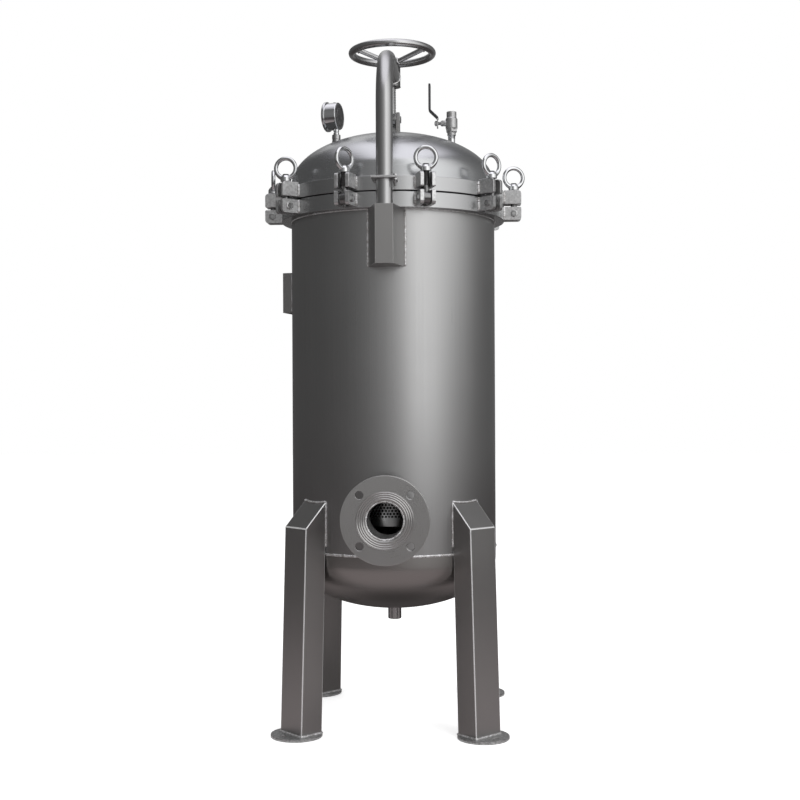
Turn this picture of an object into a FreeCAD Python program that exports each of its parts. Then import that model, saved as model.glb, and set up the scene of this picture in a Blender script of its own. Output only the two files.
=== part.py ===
"""Bag filter housing: a welded pressure vessel on four legs, closed by a domed lid with swing bolts.

Frame: +Z up, origin on the floor under the vessel's axis, outlet nozzle and davit towards -Y.
All sizes are in millimetres and live in the sheet "sizes". Pieces that repeat round the vessel
are made once at the front (-Y) and turned about the axis, so an azimuth of 0 is the front and
90 is the right-hand side (+X).
"""
import FreeCAD, Part
import Sketcher
import os
import re

V = FreeCAD.Vector
UP = V(0, 0, 1)

SIZES = [
    # vessel
    ("shell_radius", 250.0, "outer radius of shell, bottom head and lid dome"),
    ("wall", 4.0, "plate thickness of shell, head and dome"),
    ("seam_z", 419.0, "height of the weld between bottom head and shell"),
    ("head_straight", 26.0, "straight skirt of the bottom head"),
    ("head_depth", 125.0, "outer depth of the elliptical bottom head"),
    ("dome_depth", 125.0, "outer depth of the elliptical lid dome"),
    ("dome_skirt", 53.0, "straight skirt of the lid dome"),
    # closure
    ("joint_z", 1249.0, "top face of the body flange"),
    ("joint_gap", 3.0, "gap between the flanges, held by the gasket"),
    ("flange_width", 24.0, "flanges stand out from the shell"),
    ("flange_radius", "=shell_radius + flange_width", "outer radius of body and lid flanges"),
    ("body_flange_depth", 36.0, "thickness of the body flange"),
    ("lid_flange_depth", 33.0, "thickness of the lid flange"),
    ("gasket_offset", 12.0, "gasket's middle outside the shell's radius"),
    ("gasket_radius", "=shell_radius + gasket_offset", "middle radius of the gasket"),
    ("gasket_width", 9.4, "width of the gasket"),
    ("groove_depth", 4.0, "depth of the gasket groove"),
    ("groove_play", 0.3, "gap between gasket and groove on each side"),
    # swing bolt stations
    ("bolt_count", 10, "number of swing bolts"),
    ("first_azimuth", 18.0, "azimuth of the first swing bolt"),
    ("pin_offset", 24.0, "hinge pins outside the flanges' rim"),
    ("pin_circle", "=flange_radius + pin_offset", "radius of the circle of hinge pins"),
    ("pin_drop", 17.0, "pin axis below the body flange face"),
    ("pin_radius", 6.0, "hinge pin"),
    ("pin_head_radius", 9.0, "head and lock ring of the hinge pin"),
    ("pin_head_depth", 3.5, "thickness of the pin head"),
    ("running", 0.08, "radial clearance of a turning or sliding fit"),
    ("ear_reach", 42.0, "ears stand out from the flange rim"),
    ("ear_thick", 9.0, "thickness of one cheek"),
    ("ear_gap", 18.4, "slot between the two cheeks"),
    ("body_ear_height", 32.0, "height of a body ear"),
    ("body_ear_drop", 1.0, "top of a body ear below the flange face"),
    ("lid_ear_height", 34.0, "height of a lid ear"),
    ("lid_ear_rise", 3.0, "foot of a lid ear above the lid flange's lower face"),
    ("ear_round", 8.0, "rounded outer corner of an ear"),
    ("ear_corner", 3.0, "small rounded corner of an ear"),
    ("stud_radius", 8.0, "shank of the swing bolt"),
    ("eye_radius", 14.0, "eye of the swing bolt"),
    ("eye_play", 0.4, "gap between eye and cheek on each side"),
    ("stud_length", 76.0, "swing bolt, pin axis to tip"),
    ("tip_bevel", 2.0, "bevel on the ends of swing bolts and lift screw"),
    ("nut_gap", 1.6, "slack between eye nut and lid ear"),
    ("nut_radius", 12.5, "base of the eye nut"),
    ("nut_neck_radius", 10.0, "top of the eye nut's collar"),
    ("nut_base", 9.0, "straight part of the nut's collar"),
    ("nut_collar", 14.0, "height of the nut's collar"),
    ("ring_rise", 31.0, "ring centre above the nut's foot"),
    ("ring_radius", 24.0, "middle radius of the ring"),
    ("ring_bar", 4.2, "radius of the ring's bar"),
    # nozzles
    ("outlet_rise", 92.0, "axis of the outlet above the bottom seam"),
    ("outlet_z", "=seam_z + outlet_rise", "axis of the outlet"),
    ("inlet_drop", 179.0, "axis of the inlet below the joint"),
    ("inlet_z", "=joint_z - inlet_drop", "axis of the inlet"),
    ("nozzle_reach", 350.0, "flange face from the vessel's axis"),
    ("pipe_radius", 44.45, "outer radius of the nozzle pipe"),
    ("pipe_wall", 3.2, "wall of the nozzle pipe"),
    ("pipe_setback", 5.0, "pipe end behind the flange face"),
    ("nozzle_flange_radius", 100.0, "outer radius of the nozzle flange"),
    ("nozzle_flange_depth", 18.0, "thickness of the flange plate"),
    ("face_radius", 64.5, "raised face"),
    ("face_height", 2.0, "height of the raised face"),
    ("bolt_circle", 80.0, "radius of the nozzle's bolt circle"),
    ("bolt_hole", 9.0, "radius of a nozzle bolt hole"),
    ("nozzle_holes", 4, "number of nozzle bolt holes"),
    # legs
    ("leg_azimuth", 45.0, "azimuth of the first leg"),
    ("leg_count", 4, "number of legs"),
    ("leg_width", 80.0, "leg across"),
    ("leg_wall", 4.0, "wall of the leg"),
    ("leg_standout", 72.0, "outer face of the leg at the floor, outside the shell's radius"),
    ("leg_foot_reach", "=shell_radius + leg_standout", "outer face of the leg at the floor"),
    ("leg_splay", 16.0, "outer face nearer the axis at the top"),
    ("leg_toe", 12.0, "inner face of the leg at the floor, outside the shell's radius"),
    ("leg_depth", "=leg_standout - leg_toe", "leg measured away from the vessel"),
    ("leg_lap", 63.0, "outer edge of the sloped cap above the bottom seam"),
    ("leg_top_z", "=seam_z + leg_lap", "outer edge of the sloped cap"),
    ("leg_cap_rise", 60.0, "rise of the cap over the leg's depth"),
    ("foot_radius", 60.0, "round foot plate"),
    ("foot_thick", 7.0, "thickness of the foot plate"),
    ("foot_inset", 17.0, "foot plate's centre inside the leg's outer face"),
    ("foot_circle", "=leg_foot_reach - foot_inset", "foot plate's centre from the axis"),
    ("anchor_offset", 39.0, "anchor hole outside the foot plate's centre"),
    ("anchor_circle", "=foot_circle + anchor_offset", "anchor holes from the axis"),
    ("anchor_hole", 7.0, "radius of an anchor hole"),
    # drain
    ("drain_radius", 16.5, "outside of the drain socket"),
    ("drain_bore", 10.5, "bore of the drain socket"),
    ("drain_length", 31.5, "drain socket below the bottom head"),
    ("drain_z", "=seam_z - head_straight - head_depth - drain_length", "mouth of the drain socket"),
    ("plug_setback", 2.0, "plug inside the mouth"),
    ("plug_length", 22.0, "length of the plug"),
    ("plug_square", 9.5, "square recess in the plug"),
    ("plug_recess", 9.0, "depth of the square recess"),
    ("plug_play", 0.05, "gap between plug and bore"),
    # davit
    ("davit_radius", 19.0, "outer radius of the davit tube"),
    ("davit_wall", 4.0, "wall of the davit tube"),
    ("davit_gap", 12.0, "gap between the flanges' rim and the upright"),
    ("davit_circle", "=flange_radius + davit_gap + davit_radius", "davit's upright from the vessel's axis"),
    ("davit_bend", 140.0, "middle radius of the bend"),
    ("arm_rise", 324.0, "axis of the arm above the joint"),
    ("arm_z", "=joint_z + arm_rise", "axis of the arm"),
    ("socket_drop", 168.0, "underside of the davit socket below the joint"),
    ("socket_z", "=joint_z - socket_drop", "underside of the davit socket"),
    ("socket_height", 132.0, "height of the socket"),
    ("socket_plate", 5.0, "plate of the socket"),
    ("socket_ease", 1.0, "gap between the upright and the front plate"),
    ("socket_reach", "=davit_circle + davit_radius + socket_ease + socket_plate",
     "front plate of the socket from the axis"),
    ("socket_front", 40.0, "width of the front plate"),
    ("socket_back", 88.0, "width of the socket at the shell"),
    ("socket_play", 0.4, "gap round the davit tube"),
    ("guide_rise", 121.0, "guide plate above the underside of the socket"),
    ("guide_z", "=socket_z + guide_rise", "underside of the guide plate in the socket"),
    ("guide_thick", 6.0, "guide plate in the socket"),
    ("sleeve_radius", 20.0, "sleeve at the arm's end"),
    ("sleeve_drop", 22.0, "underside of the sleeve below the arm's axis"),
    ("sleeve_z", "=arm_z - sleeve_drop", "underside of the sleeve"),
    ("sleeve_height", 50.0, "height of the sleeve"),
    ("collar_radius", 22.5, "collar under the sleeve"),
    ("collar_height", 8.0, "height of the collar"),
    ("screw_play", 0.5, "gap between screw and sleeve"),
    # lift screw and wheel
    ("screw_radius", 9.0, "lift screw"),
    ("screw_proud", 16.0, "screw above the sleeve"),
    ("screw_top_z", "=sleeve_z + sleeve_height + screw_proud", "upper end of the screw"),
    ("screw_eye", 16.0, "eye at the screw's lower end"),
    ("screw_eye_width", 17.2, "width of the screw's eye"),
    ("clevis_rise", 221.0, "pin of the lid clevis above the joint"),
    ("clevis_pin_z", "=joint_z + clevis_rise", "pin of the lid clevis"),
    ("clevis_pin_radius", 6.0, "pin of the lid clevis"),
    ("clevis_gap", 19.0, "slot of the lid clevis"),
    ("clevis_cheek", 8.5, "thickness of a clevis cheek"),
    ("clevis_width", 46.0, "foot of a clevis cheek"),
    ("clevis_round", 17.0, "rounded top of a clevis cheek"),
    ("wheel_gap", 0.3, "running gap between sleeve and hub"),
    ("hub_radius", 17.0, "hub of the handwheel"),
    ("hub_height", 20.0, "height of the hub"),
    ("rim_radius", 99.0, "middle radius of the rim"),
    ("rim_bar", 9.0, "radius of the rim's bar"),
    ("rim_rise", 33.0, "middle of the rim above the sleeve"),
    ("rim_z", "=sleeve_z + sleeve_height + rim_rise", "middle of the rim"),
    ("spoke_radius", 6.0, "radius of a spoke"),
    ("spoke_count", 3, "number of spokes"),
    # lid guide
    ("strap_width", 58.0, "guide strap on the lid"),
    ("strap_thick", 5.0, "thickness of the guide strap"),
    ("strap_rise", 21.0, "underside of the guide strap above the joint"),
    ("strap_z", "=joint_z + strap_rise", "underside of the guide strap"),
    ("strap_margin", 9.0, "strap beyond the upright"),
    ("strap_reach", "=davit_circle + davit_radius + strap_margin", "outer edge of the strap from the axis"),
    ("strap_play", 1.0, "gap between strap and davit tube"),
    # inside
    ("ledge_width", 22.0, "ledge ring inside the shell"),
    ("ledge_thick", 10.0, "thickness of the ledge ring"),
    ("ledge_drop", 279.0, "top of the ledge ring below the joint"),
    ("ledge_z", "=joint_z - ledge_drop", "top of the ledge ring"),
    ("sheet_play", 4.0, "gap between tube sheet and shell"),
    ("sheet_thick", 10.0, "thickness of the tube sheet"),
    ("basket_count", 3, "number of baskets"),
    ("basket_circle", 120.0, "basket axis from the vessel's axis"),
    ("basket_radius", 80.0, "outer radius of a basket"),
    ("basket_wall", 2.0, "wall of a basket"),
    ("basket_length", 498.0, "basket below the top of the tube sheet"),
    ("basket_foot_z", "=ledge_z + sheet_thick - basket_length", "bottom of the baskets"),
    ("basket_play", 1.0, "gap between basket and tube sheet"),
    ("basket_rim", 92.0, "outer radius of the basket rim"),
    ("rim_thick", 5.0, "thickness of the basket rim"),
    ("bag_play", 0.5, "gap between bag and basket"),
    ("bag_wall", 2.0, "felt of the bag"),
    ("bag_collar", 88.0, "outer radius of the bag's collar"),
    ("collar_thick", 8.0, "thickness of the bag's collar"),
    ("spider_rise", 73.0, "hold-down ring above the tube sheet"),
    ("spider_z", "=ledge_z + sheet_thick + spider_rise", "underside of the hold-down ring"),
    ("spider_thick", 8.0, "thickness of the hold-down"),
    ("spider_bar", 12.0, "radial width of each hold-down ring"),
    ("spider_hub", 24.0, "hub of the hold-down"),
    ("tie_radius", 8.0, "tie rod"),
    ("tie_height", 48.0, "tie rod above the tube sheet"),
    ("tie_play", 0.5, "gap between tie rod and hold-down"),
    ("knob_radius", 22.0, "hold-down nut"),
    ("knob_height", 18.0, "height of the hold-down nut"),
    # nameplate bracket
    ("badge_azimuth", -101.5, "azimuth of the bracket"),
    ("badge_width", 120.0, "width of the bracket"),
    ("badge_height", 99.0, "height of the bracket"),
    ("badge_drop", 255.0, "underside of the bracket below the joint"),
    ("badge_z", "=joint_z - badge_drop", "underside of the bracket"),
    ("badge_standout", 18.0, "outer plane of the bracket outside the shell's radius"),
    ("badge_reach", "=shell_radius + badge_standout", "outer plane of the bracket from the axis"),
    ("badge_plate", 3.0, "plate of the bracket"),
    # gauge
    ("gauge_reach", 140.0, "gauge from the vessel's axis, to the left"),
    ("gauge_turn", -105.0, "way the dial faces, turned from the front"),
    ("boss_radius", 10.5, "boss under the gauge"),
    ("boss_rise", 186.0, "top of the boss above the joint"),
    ("boss_top_z", "=joint_z + boss_rise", "top of the boss"),
    ("gauge_stem_radius", 7.0, "stem of the gauge"),
    ("gauge_rise", 46.0, "middle of the dial above the boss"),
    ("gauge_z", "=boss_top_z + gauge_rise", "middle of the dial"),
    ("case_radius", 33.5, "gauge case"),
    ("case_back", 9.0, "case behind the stem's axis"),
    ("case_front", 20.0, "case ahead of the stem's axis"),
    ("case_wall", 2.0, "wall of the case"),
    ("bezel_radius", 36.7, "bezel"),
    ("bezel_depth", 7.0, "depth of the bezel"),
    ("dial_back", 12.0, "dial behind the bezel's front"),
    ("dial_thick", 1.0, "thickness of the dial"),
    ("pane_back", 3.5, "window's inner face behind the bezel's front"),
    ("pane_thick", 2.5, "thickness of the window"),
    ("pane_play", 0.3, "gap round dial and window"),
    ("needle_length", 25.0, "pointer"),
    ("needle_tail", 9.0, "pointer's tail"),
    ("needle_thick", 0.8, "thickness of the pointer"),
    ("needle_gap", 1.0, "pointer in front of the dial"),
    ("needle_play", 0.3, "pointer in front of its spindle's end"),
    ("needle_rest", -135.0, "pointer at zero, turned from upright"),
    ("spindle_radius", 2.0, "spindle of the pointer"),
    ("needle_hub", 4.0, "radius of the pointer's round middle"),
    ("needle_butt", 2.0, "pointer across at its tail"),
    ("needle_width", 3.2, "pointer across at its pivot"),
    ("needle_tip", 0.8, "pointer across at its tip"),
    # vent valve
    ("valve_reach", 146.0, "valve from the vessel's axis, to the right"),
    ("nipple_radius", 9.0, "nipple under the valve"),
    ("valve_rise", 179.0, "lower end of the valve above the joint"),
    ("valve_foot_z", "=joint_z + valve_rise", "lower end of the valve"),
    ("valve_neck_radius", 10.5, "lower end of the valve"),
    ("valve_radius", 15.0, "middle of the valve"),
    ("valve_end_radius", 12.2, "upper end of the valve"),
    ("valve_cone", 11.0, "height of the valve's lower cone"),
    ("valve_low_z", "=valve_foot_z + valve_cone", "start of the wide part"),
    ("valve_belly", 31.0, "height of the valve's wide part"),
    ("valve_high_z", "=valve_low_z + valve_belly", "end of the wide part"),
    ("valve_mouth", 17.0, "height of the valve's end above its wide part"),
    ("valve_top_z", "=valve_high_z + valve_mouth", "mouth of the valve"),
    ("valve_bore", 8.0, "bore of the mouth"),
    ("valve_bore_depth", 16.0, "depth of the mouth"),
    ("stem_rise", 20.0, "axis of the stem above the start of the wide part"),
    ("stem_z", "=valve_low_z + stem_rise", "axis of the valve stem"),
    ("gland_radius", 7.5, "gland boss"),
    ("gland_reach", 27.0, "gland boss from the valve's axis"),
    ("stem_radius", 4.0, "valve stem"),
    ("stem_start", 16.5, "inner end of the stem"),
    ("stem_reach", 42.5, "outer end of the stem"),
    ("lever_reach", 33.0, "lever plate from the valve's axis"),
    ("lever_step", 19.5, "outward step of the lever"),
    ("lever_thick", 3.0, "lever plate"),
    ("lever_width", 19.0, "lever across"),
    ("lever_low", 11.0, "lever below the stem's axis"),
    ("lever_start", 13.0, "start of the step above the stem's axis"),
    ("lever_length", 97.0, "lever above the stem's axis"),
    ("grip_thick", 5.5, "sleeve on the lever"),
    ("lever_nut_radius", 6.5, "nut on the stem"),
    ("lever_nut_depth", 5.0, "thickness of the nut"),
]

RING_TURNS = [-15, 0, -75, 20, 60, -35, 10, 75, 50, 66]  # how each eye nut stands on its stud, degrees

doc = FreeCAD.newDocument("bag_filter_housing")
sheet = doc.addObject("Spreadsheet::Sheet", "sizes")
for row, (alias, value, note) in enumerate(SIZES, start=1):
    sheet.set("A%d" % row, note)
    sheet.set("B%d" % row, str(value))
    sheet.setAlias("B%d" % row, alias)
doc.recompute()

NAMES = {alias for alias, value, note in SIZES}
WORD = re.compile(r"[a-z][a-z_0-9]*")
pieces = []


def bound(expression):
    """The expression with every size name pointing at its cell."""
    def cell(word):
        """A size name with its sheet, or any other word as it is."""
        return "sizes." + word.group() if word.group() in NAMES else word.group()

    return WORD.sub(cell, expression)


def size(expression):
    """The number that an expression of size names gives."""
    return float(doc.Objects[0].evalExpression(bound(expression)))


def bind(target, **properties):
    """Tie properties of an object to expressions of size names."""
    for name, expression in properties.items():
        target.setExpression(name, bound(expression))


def place(target, x="0", y="0", z="0", rotation=FreeCAD.Rotation()):
    """Put an object at bound coordinates, with a fixed rotation."""
    target.Placement = FreeCAD.Placement(V(0, 0, 0), rotation)
    for axis, expression in (("x", x), ("y", y), ("z", z)):
        if expression != "0":
            target.setExpression("Placement.Base." + axis, bound(expression))
    return target


def keep(target, label):
    """Name a finished sub-part and list it for the files."""
    target.Label = label
    pieces.append(target)
    return target


LIE_Y = FreeCAD.Rotation(V(1, 0, 0), 90)    # a cylinder then runs towards -Y
LIE_BACK = FreeCAD.Rotation(V(1, 0, 0), -90)  # towards +Y
LIE_X = FreeCAD.Rotation(V(0, 1, 0), 90)    # towards +X


def cylinder(name, radius, height, x="0", y="0", z="0", rotation=FreeCAD.Rotation()):
    """A round bar that starts at a point and runs along its own axis."""
    bar = doc.addObject("Part::Cylinder", name)
    bind(bar, Radius=radius, Height=height)
    return place(bar, x, y, z, rotation)


def ellipsoid(name, radius, depth, z, upper):
    """Half of a flattened sphere, the upper or the lower one."""
    half = doc.addObject("Part::Ellipsoid", name)
    bind(half, Radius1=depth, Radius2=radius, Radius3=radius)
    half.Angle1, half.Angle2 = (0, 90) if upper else (-90, 0)
    return place(half, z=z)


def cut(name, base, *tools):
    """A base without its tools."""
    for number, tool in enumerate(tools):
        result = doc.addObject("Part::Cut", name if number == len(tools) - 1 else name + "_step%d" % number)
        result.Base, result.Tool = base, tool
        base = result
    return base


def fuse(name, *shapes):
    """Several shapes welded into one."""
    result = doc.addObject("Part::MultiFuse", name)
    result.Shapes = list(shapes)
    result.Refine = True
    return result


def tube(name, outer, inner, height, z):
    """An upright ring or tube about the vessel's axis."""
    outside = cylinder(name + "_outside", outer, height, z=z)
    return cut(name, outside, cylinder(name + "_inside", inner, height, z=z))


def plane_of(body, role):
    """One of a body's own origin planes or axes."""
    return next(item for item in body.Origin.OriginFeatures if item.Role == role)


def sketch_on(body, name, role, offset=None):
    """An empty sketch on a body's origin plane, moved out by a bound offset."""
    sketch = body.newObject("Sketcher::SketchObject", name)
    sketch.AttachmentSupport = [(plane_of(body, role), "")]
    sketch.MapMode = "FlatFace"
    if offset:
        sketch.setExpression("AttachmentOffset.Base.z", bound(offset))
    return sketch


def pin_point(sketch, geometry, point, x, y):
    """Hold a sketch point at bound coordinates from the sketch's origin."""
    for kind, axis, expression in (("DistanceX", -2, x), ("DistanceY", -1, y)):
        value = size(expression)
        if abs(value) < 1e-9:
            sketch.addConstraint(Sketcher.Constraint("PointOnObject", geometry, point, axis))
        else:
            index = sketch.addConstraint(Sketcher.Constraint(kind, -1, 1, geometry, point, value))
            sketch.setExpression("Constraints[%d]" % index, bound(expression))


def toward(start, end):
    """Whole-number direction of a level or upright edge."""
    return [int(end[i] > start[i] + 1e-9) - int(end[i] < start[i] - 1e-9) for i in (0, 1)]


def outline(sketch, corners):
    """A closed outline. A corner is (x, y), or (x, y, radius) where level and upright edges meet."""
    spots = [(size(corner[0]), size(corner[1])) for corner in corners]
    count = len(corners)
    entries, exits, arcs = [], [], {}
    for i, corner in enumerate(corners):
        if len(corner) == 2:
            entries.append(spots[i])
            exits.append(spots[i])
            continue
        back, ahead = toward(spots[i], spots[i - 1]), toward(spots[i], spots[(i + 1) % count])
        radius = size(corner[2])
        entries.append((spots[i][0] + back[0] * radius, spots[i][1] + back[1] * radius))
        exits.append((spots[i][0] + ahead[0] * radius, spots[i][1] + ahead[1] * radius))
        arcs[i] = (back[0] + ahead[0], back[1] + ahead[1], back[0] * ahead[1] - back[1] * ahead[0])
    lines = []
    for i in range(count):
        start, end = exits[i], entries[(i + 1) % count]
        lines.append(sketch.addGeometry(Part.LineSegment(V(*start, 0), V(*end, 0))))
    for i, corner in enumerate(corners):
        before, after = lines[i - 1], lines[i]
        if i not in arcs:
            sketch.addConstraint(Sketcher.Constraint("Coincident", before, 2, after, 1))
            pin_point(sketch, after, 1, corner[0], corner[1])
            continue
        across, along, turn = arcs[i]
        radius = size(corner[2])
        middle = V(spots[i][0] + across * radius, spots[i][1] + along * radius, 0)
        halfway = middle - V(across, along, 0).normalize() * radius
        bend = Part.Arc(V(*entries[i], 0), halfway, V(*exits[i], 0))
        arc = sketch.addGeometry(bend)
        ends = (2, 1) if turn > 0 else (1, 2)
        sketch.addConstraint(Sketcher.Constraint("Tangent", before, 2, arc, ends[0]))
        sketch.addConstraint(Sketcher.Constraint("Tangent", after, 1, arc, ends[1]))
        index = sketch.addConstraint(Sketcher.Constraint("Radius", arc, radius))
        sketch.setExpression("Constraints[%d]" % index, bound(corner[2]))
        centre = ["%s + %d * (%s)" % (corner[k], (across, along)[k], corner[2]) for k in (0, 1)]
        pin_point(sketch, arc, 3, centre[0], centre[1])


def ring_in(sketch, x, y, radius):
    """A circle at bound coordinates."""
    circle = sketch.addGeometry(Part.Circle(V(size(x), size(y), 0), UP, size(radius)))
    index = sketch.addConstraint(Sketcher.Constraint("Radius", circle, size(radius)))
    sketch.setExpression("Constraints[%d]" % index, bound(radius))
    pin_point(sketch, circle, 3, x, y)


def new_body(name):
    """An empty body that may hold separate solids."""
    body = doc.addObject("PartDesign::Body", name)
    body.AllowCompound = True
    return body


def pad(body, sketch, length, midplane=False):
    """Raise a sketch by a bound length."""
    feature = body.newObject("PartDesign::Pad", sketch.Name + "_pad")
    feature.Profile = sketch
    feature.Midplane = midplane
    feature.setExpression("Length", bound(length))
    sketch.Visibility = False
    return feature


def pocket(body, sketch, length, midplane=False, reverse=False):
    """Sink a sketch by a bound length."""
    feature = body.newObject("PartDesign::Pocket", sketch.Name + "_pocket")
    feature.Profile = sketch
    feature.Midplane = midplane
    feature.Reversed = reverse
    feature.setExpression("Length", bound(length))
    return feature


def revolve(body, sketch, axis="V_Axis"):
    """Turn a sketch fully about one of its axes."""
    feature = body.newObject("PartDesign::Revolution", sketch.Name + "_turned")
    feature.Profile = sketch
    feature.ReferenceAxis = (sketch, [axis])
    feature.Angle = 360
    return feature


def repeat(body, features, count, role="Z_Axis"):
    """Repeat features evenly round one of the body's axes."""
    pattern = body.newObject("PartDesign::PolarPattern", body.Name + "_round")
    pattern.Originals = features
    pattern.Axis = (plane_of(body, role), [""])
    pattern.Angle = 360
    pattern.setExpression("Occurrences", bound(count))
    body.Tip = pattern
    return pattern


def turned(name, *profiles, plane="XZ_Plane", axis="V_Axis"):
    """A body turned from one closed profile."""
    body = new_body(name)
    for number, profile in enumerate(profiles):
        sketch = sketch_on(body, "%s_profile%d" % (name, number), plane)
        outline(sketch, profile)
        revolve(body, sketch, axis)
    return body


def azimuth(angle):
    """Turn a piece made at the front to an azimuth."""
    return FreeCAD.Rotation(UP, angle)


def copies(name, source, first, count):
    """Separate copies of a piece made at the front, spread evenly round the axis."""
    doc.recompute()
    group = doc.addObject("Part::Feature", name)
    step = 360.0 / count
    group.Shape = Part.makeCompound([
        source.Shape.rotated(V(0, 0, 0), UP, first + step * number) for number in range(count)
    ])
    return group


INNER = "(shell_radius - wall)"
LID_Z = "(joint_z + joint_gap)"
PIN_Z = "(joint_z - pin_drop)"
HEAD_Z = "(seam_z - head_straight)"             # the bottom head starts to curve
DOME_Z = "(joint_z + joint_gap + dome_skirt)"   # the lid dome starts to curve
EAR_WIDTH = "(ear_gap + 2 * ear_thick)"


def build_vessel():
    """Shell with its two nozzle holes, and the dished bottom with its drain hole."""
    full = cylinder("shell_outside", "shell_radius", "joint_z - seam_z", z="seam_z")
    hollow = cylinder("shell_inside", INNER, "joint_z - seam_z", z="seam_z")
    outlet_hole = cylinder("shell_outlet", "pipe_radius", "shell_radius", z="outlet_z", rotation=LIE_Y)
    inlet_hole = cylinder("shell_inlet", "pipe_radius", "shell_radius", z="inlet_z", rotation=LIE_BACK)
    keep(cut("shell_body", full, hollow, outlet_hole, inlet_hole), "shell")

    outside = fuse("head_outside", cylinder("head_skirt", "shell_radius", "head_straight", z=HEAD_Z),
                   ellipsoid("head_bowl", "shell_radius", "head_depth", HEAD_Z, upper=False))
    inside = fuse("head_inside", cylinder("head_skirt_inside", INNER, "head_straight", z=HEAD_Z),
                  ellipsoid("head_bowl_inside", INNER, "head_depth - wall", HEAD_Z, upper=False))
    drain_hole = cylinder("head_drain", "drain_radius", "head_depth", z="drain_z")
    keep(cut("head_body", outside, inside, drain_hole), "bottom_head")


def build_drain():
    """Threaded socket under the bottom, trimmed flush inside, and its plug with a square recess."""
    socket = tube("drain_tube", "drain_radius", "drain_bore", "head_depth", "drain_z")
    bowl = ellipsoid("drain_trim", INNER, "head_depth - wall", HEAD_Z, upper=False)
    keep(cut("drain_socket_body", socket, bowl), "drain_socket")

    body = new_body("drain_plug_body")
    base = sketch_on(body, "plug_round", "XY_Plane", "drain_z + plug_setback")
    ring_in(base, "0", "0", "drain_bore - plug_play")
    pad(body, base, "plug_length")
    recess = sketch_on(body, "plug_key", "XY_Plane", "drain_z + plug_setback")
    half = "plug_square / 2"
    outline(recess, [("-" + half, "-" + half), (half, "-" + half), (half, half), ("-" + half, half)])
    pocket(body, recess, "plug_recess", reverse=True)
    keep(body, "drain_plug")


def build_flanges():
    """Body flange with its gasket groove, the gasket, and the lid flange."""
    groove_in = "gasket_radius - gasket_width / 2 - groove_play"
    groove_out = "gasket_radius + gasket_width / 2 + groove_play"
    low = "joint_z - body_flange_depth"
    keep(turned("body_flange_ring", [
        ("shell_radius", low), ("flange_radius", low), ("flange_radius", "joint_z"),
        (groove_out, "joint_z"), (groove_out, "joint_z - groove_depth"),
        (groove_in, "joint_z - groove_depth"), (groove_in, "joint_z"), ("shell_radius", "joint_z")]),
        "body_flange")
    keep(tube("gasket_ring", "gasket_radius + gasket_width / 2", "gasket_radius - gasket_width / 2",
              "groove_depth + joint_gap", "joint_z - groove_depth"), "lid_gasket")
    keep(tube("lid_flange_ring", "flange_radius", "shell_radius", "lid_flange_depth", LID_Z), "lid_flange")


def ear_set(name, low, height, corners, pinned):
    """Cheeks in pairs round a flange: one pair is padded, slotted and repeated, then coped to the rim."""
    body = new_body(name + "_pairs")
    inner, outer = "-(flange_radius - ear_thick)", "-(flange_radius + ear_reach)"
    side = sketch_on(body, name + "_side", "YZ_Plane")
    high = "%s + %s" % (low, height)
    outline(side, [(outer, low, corners[0]), (inner, low), (inner, high), (outer, high, corners[1])])
    block = pad(body, side, EAR_WIDTH, midplane=True)
    slot = sketch_on(body, name + "_slot", "XY_Plane", low)
    half = "ear_gap / 2"
    outline(slot, [("-" + half, inner), ("-" + half, outer + " - ear_thick"),
                   (half, outer + " - ear_thick"), (half, inner)])
    gap = pocket(body, slot, height, reverse=True)
    features = [block, gap]
    if pinned:
        hole = sketch_on(body, name + "_hole", "YZ_Plane")
        ring_in(hole, "-pin_circle", PIN_Z, "pin_radius")
        features.append(pocket(body, hole, EAR_WIDTH + " * 2", midplane=True))
    doc.recompute()
    turned_set = copies(name + "_ring", body, size("first_azimuth"), int(size("bolt_count")))
    rim = cylinder(name + "_rim", "flange_radius", "body_flange_depth * 4",
                   z="joint_z - body_flange_depth * 2")
    return cut(name + "_body", turned_set, rim)


def build_ears():
    """Hinge ears on the body flange with their pins, and slotted ears on the lid flange."""
    keep(ear_set("body_ear", "joint_z - body_ear_drop - body_ear_height", "body_ear_height",
                 ("ear_round", "ear_corner"), pinned=True), "body_ears")
    keep(ear_set("lid_ear", LID_Z + " + lid_ear_rise", "lid_ear_height", ("ear_corner", "ear_round"),
                 pinned=False), "lid_ears")

    half = EAR_WIDTH + " / 2"
    pin = turned("hinge_pin", [
        ("0", "-(%s) - pin_head_depth" % half), ("pin_head_radius", "-(%s) - pin_head_depth" % half),
        ("pin_head_radius", "-(%s)" % half), ("pin_radius", "-(%s)" % half), ("pin_radius", half),
        ("pin_head_radius", half), ("pin_head_radius", "%s + pin_head_depth" % half),
        ("0", "%s + pin_head_depth" % half)])
    place(pin, y="-pin_circle", z=PIN_Z, rotation=LIE_X)
    keep(copies("hinge_pin_ring", pin, size("first_azimuth"), int(size("bolt_count"))), "hinge_pins")


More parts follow.
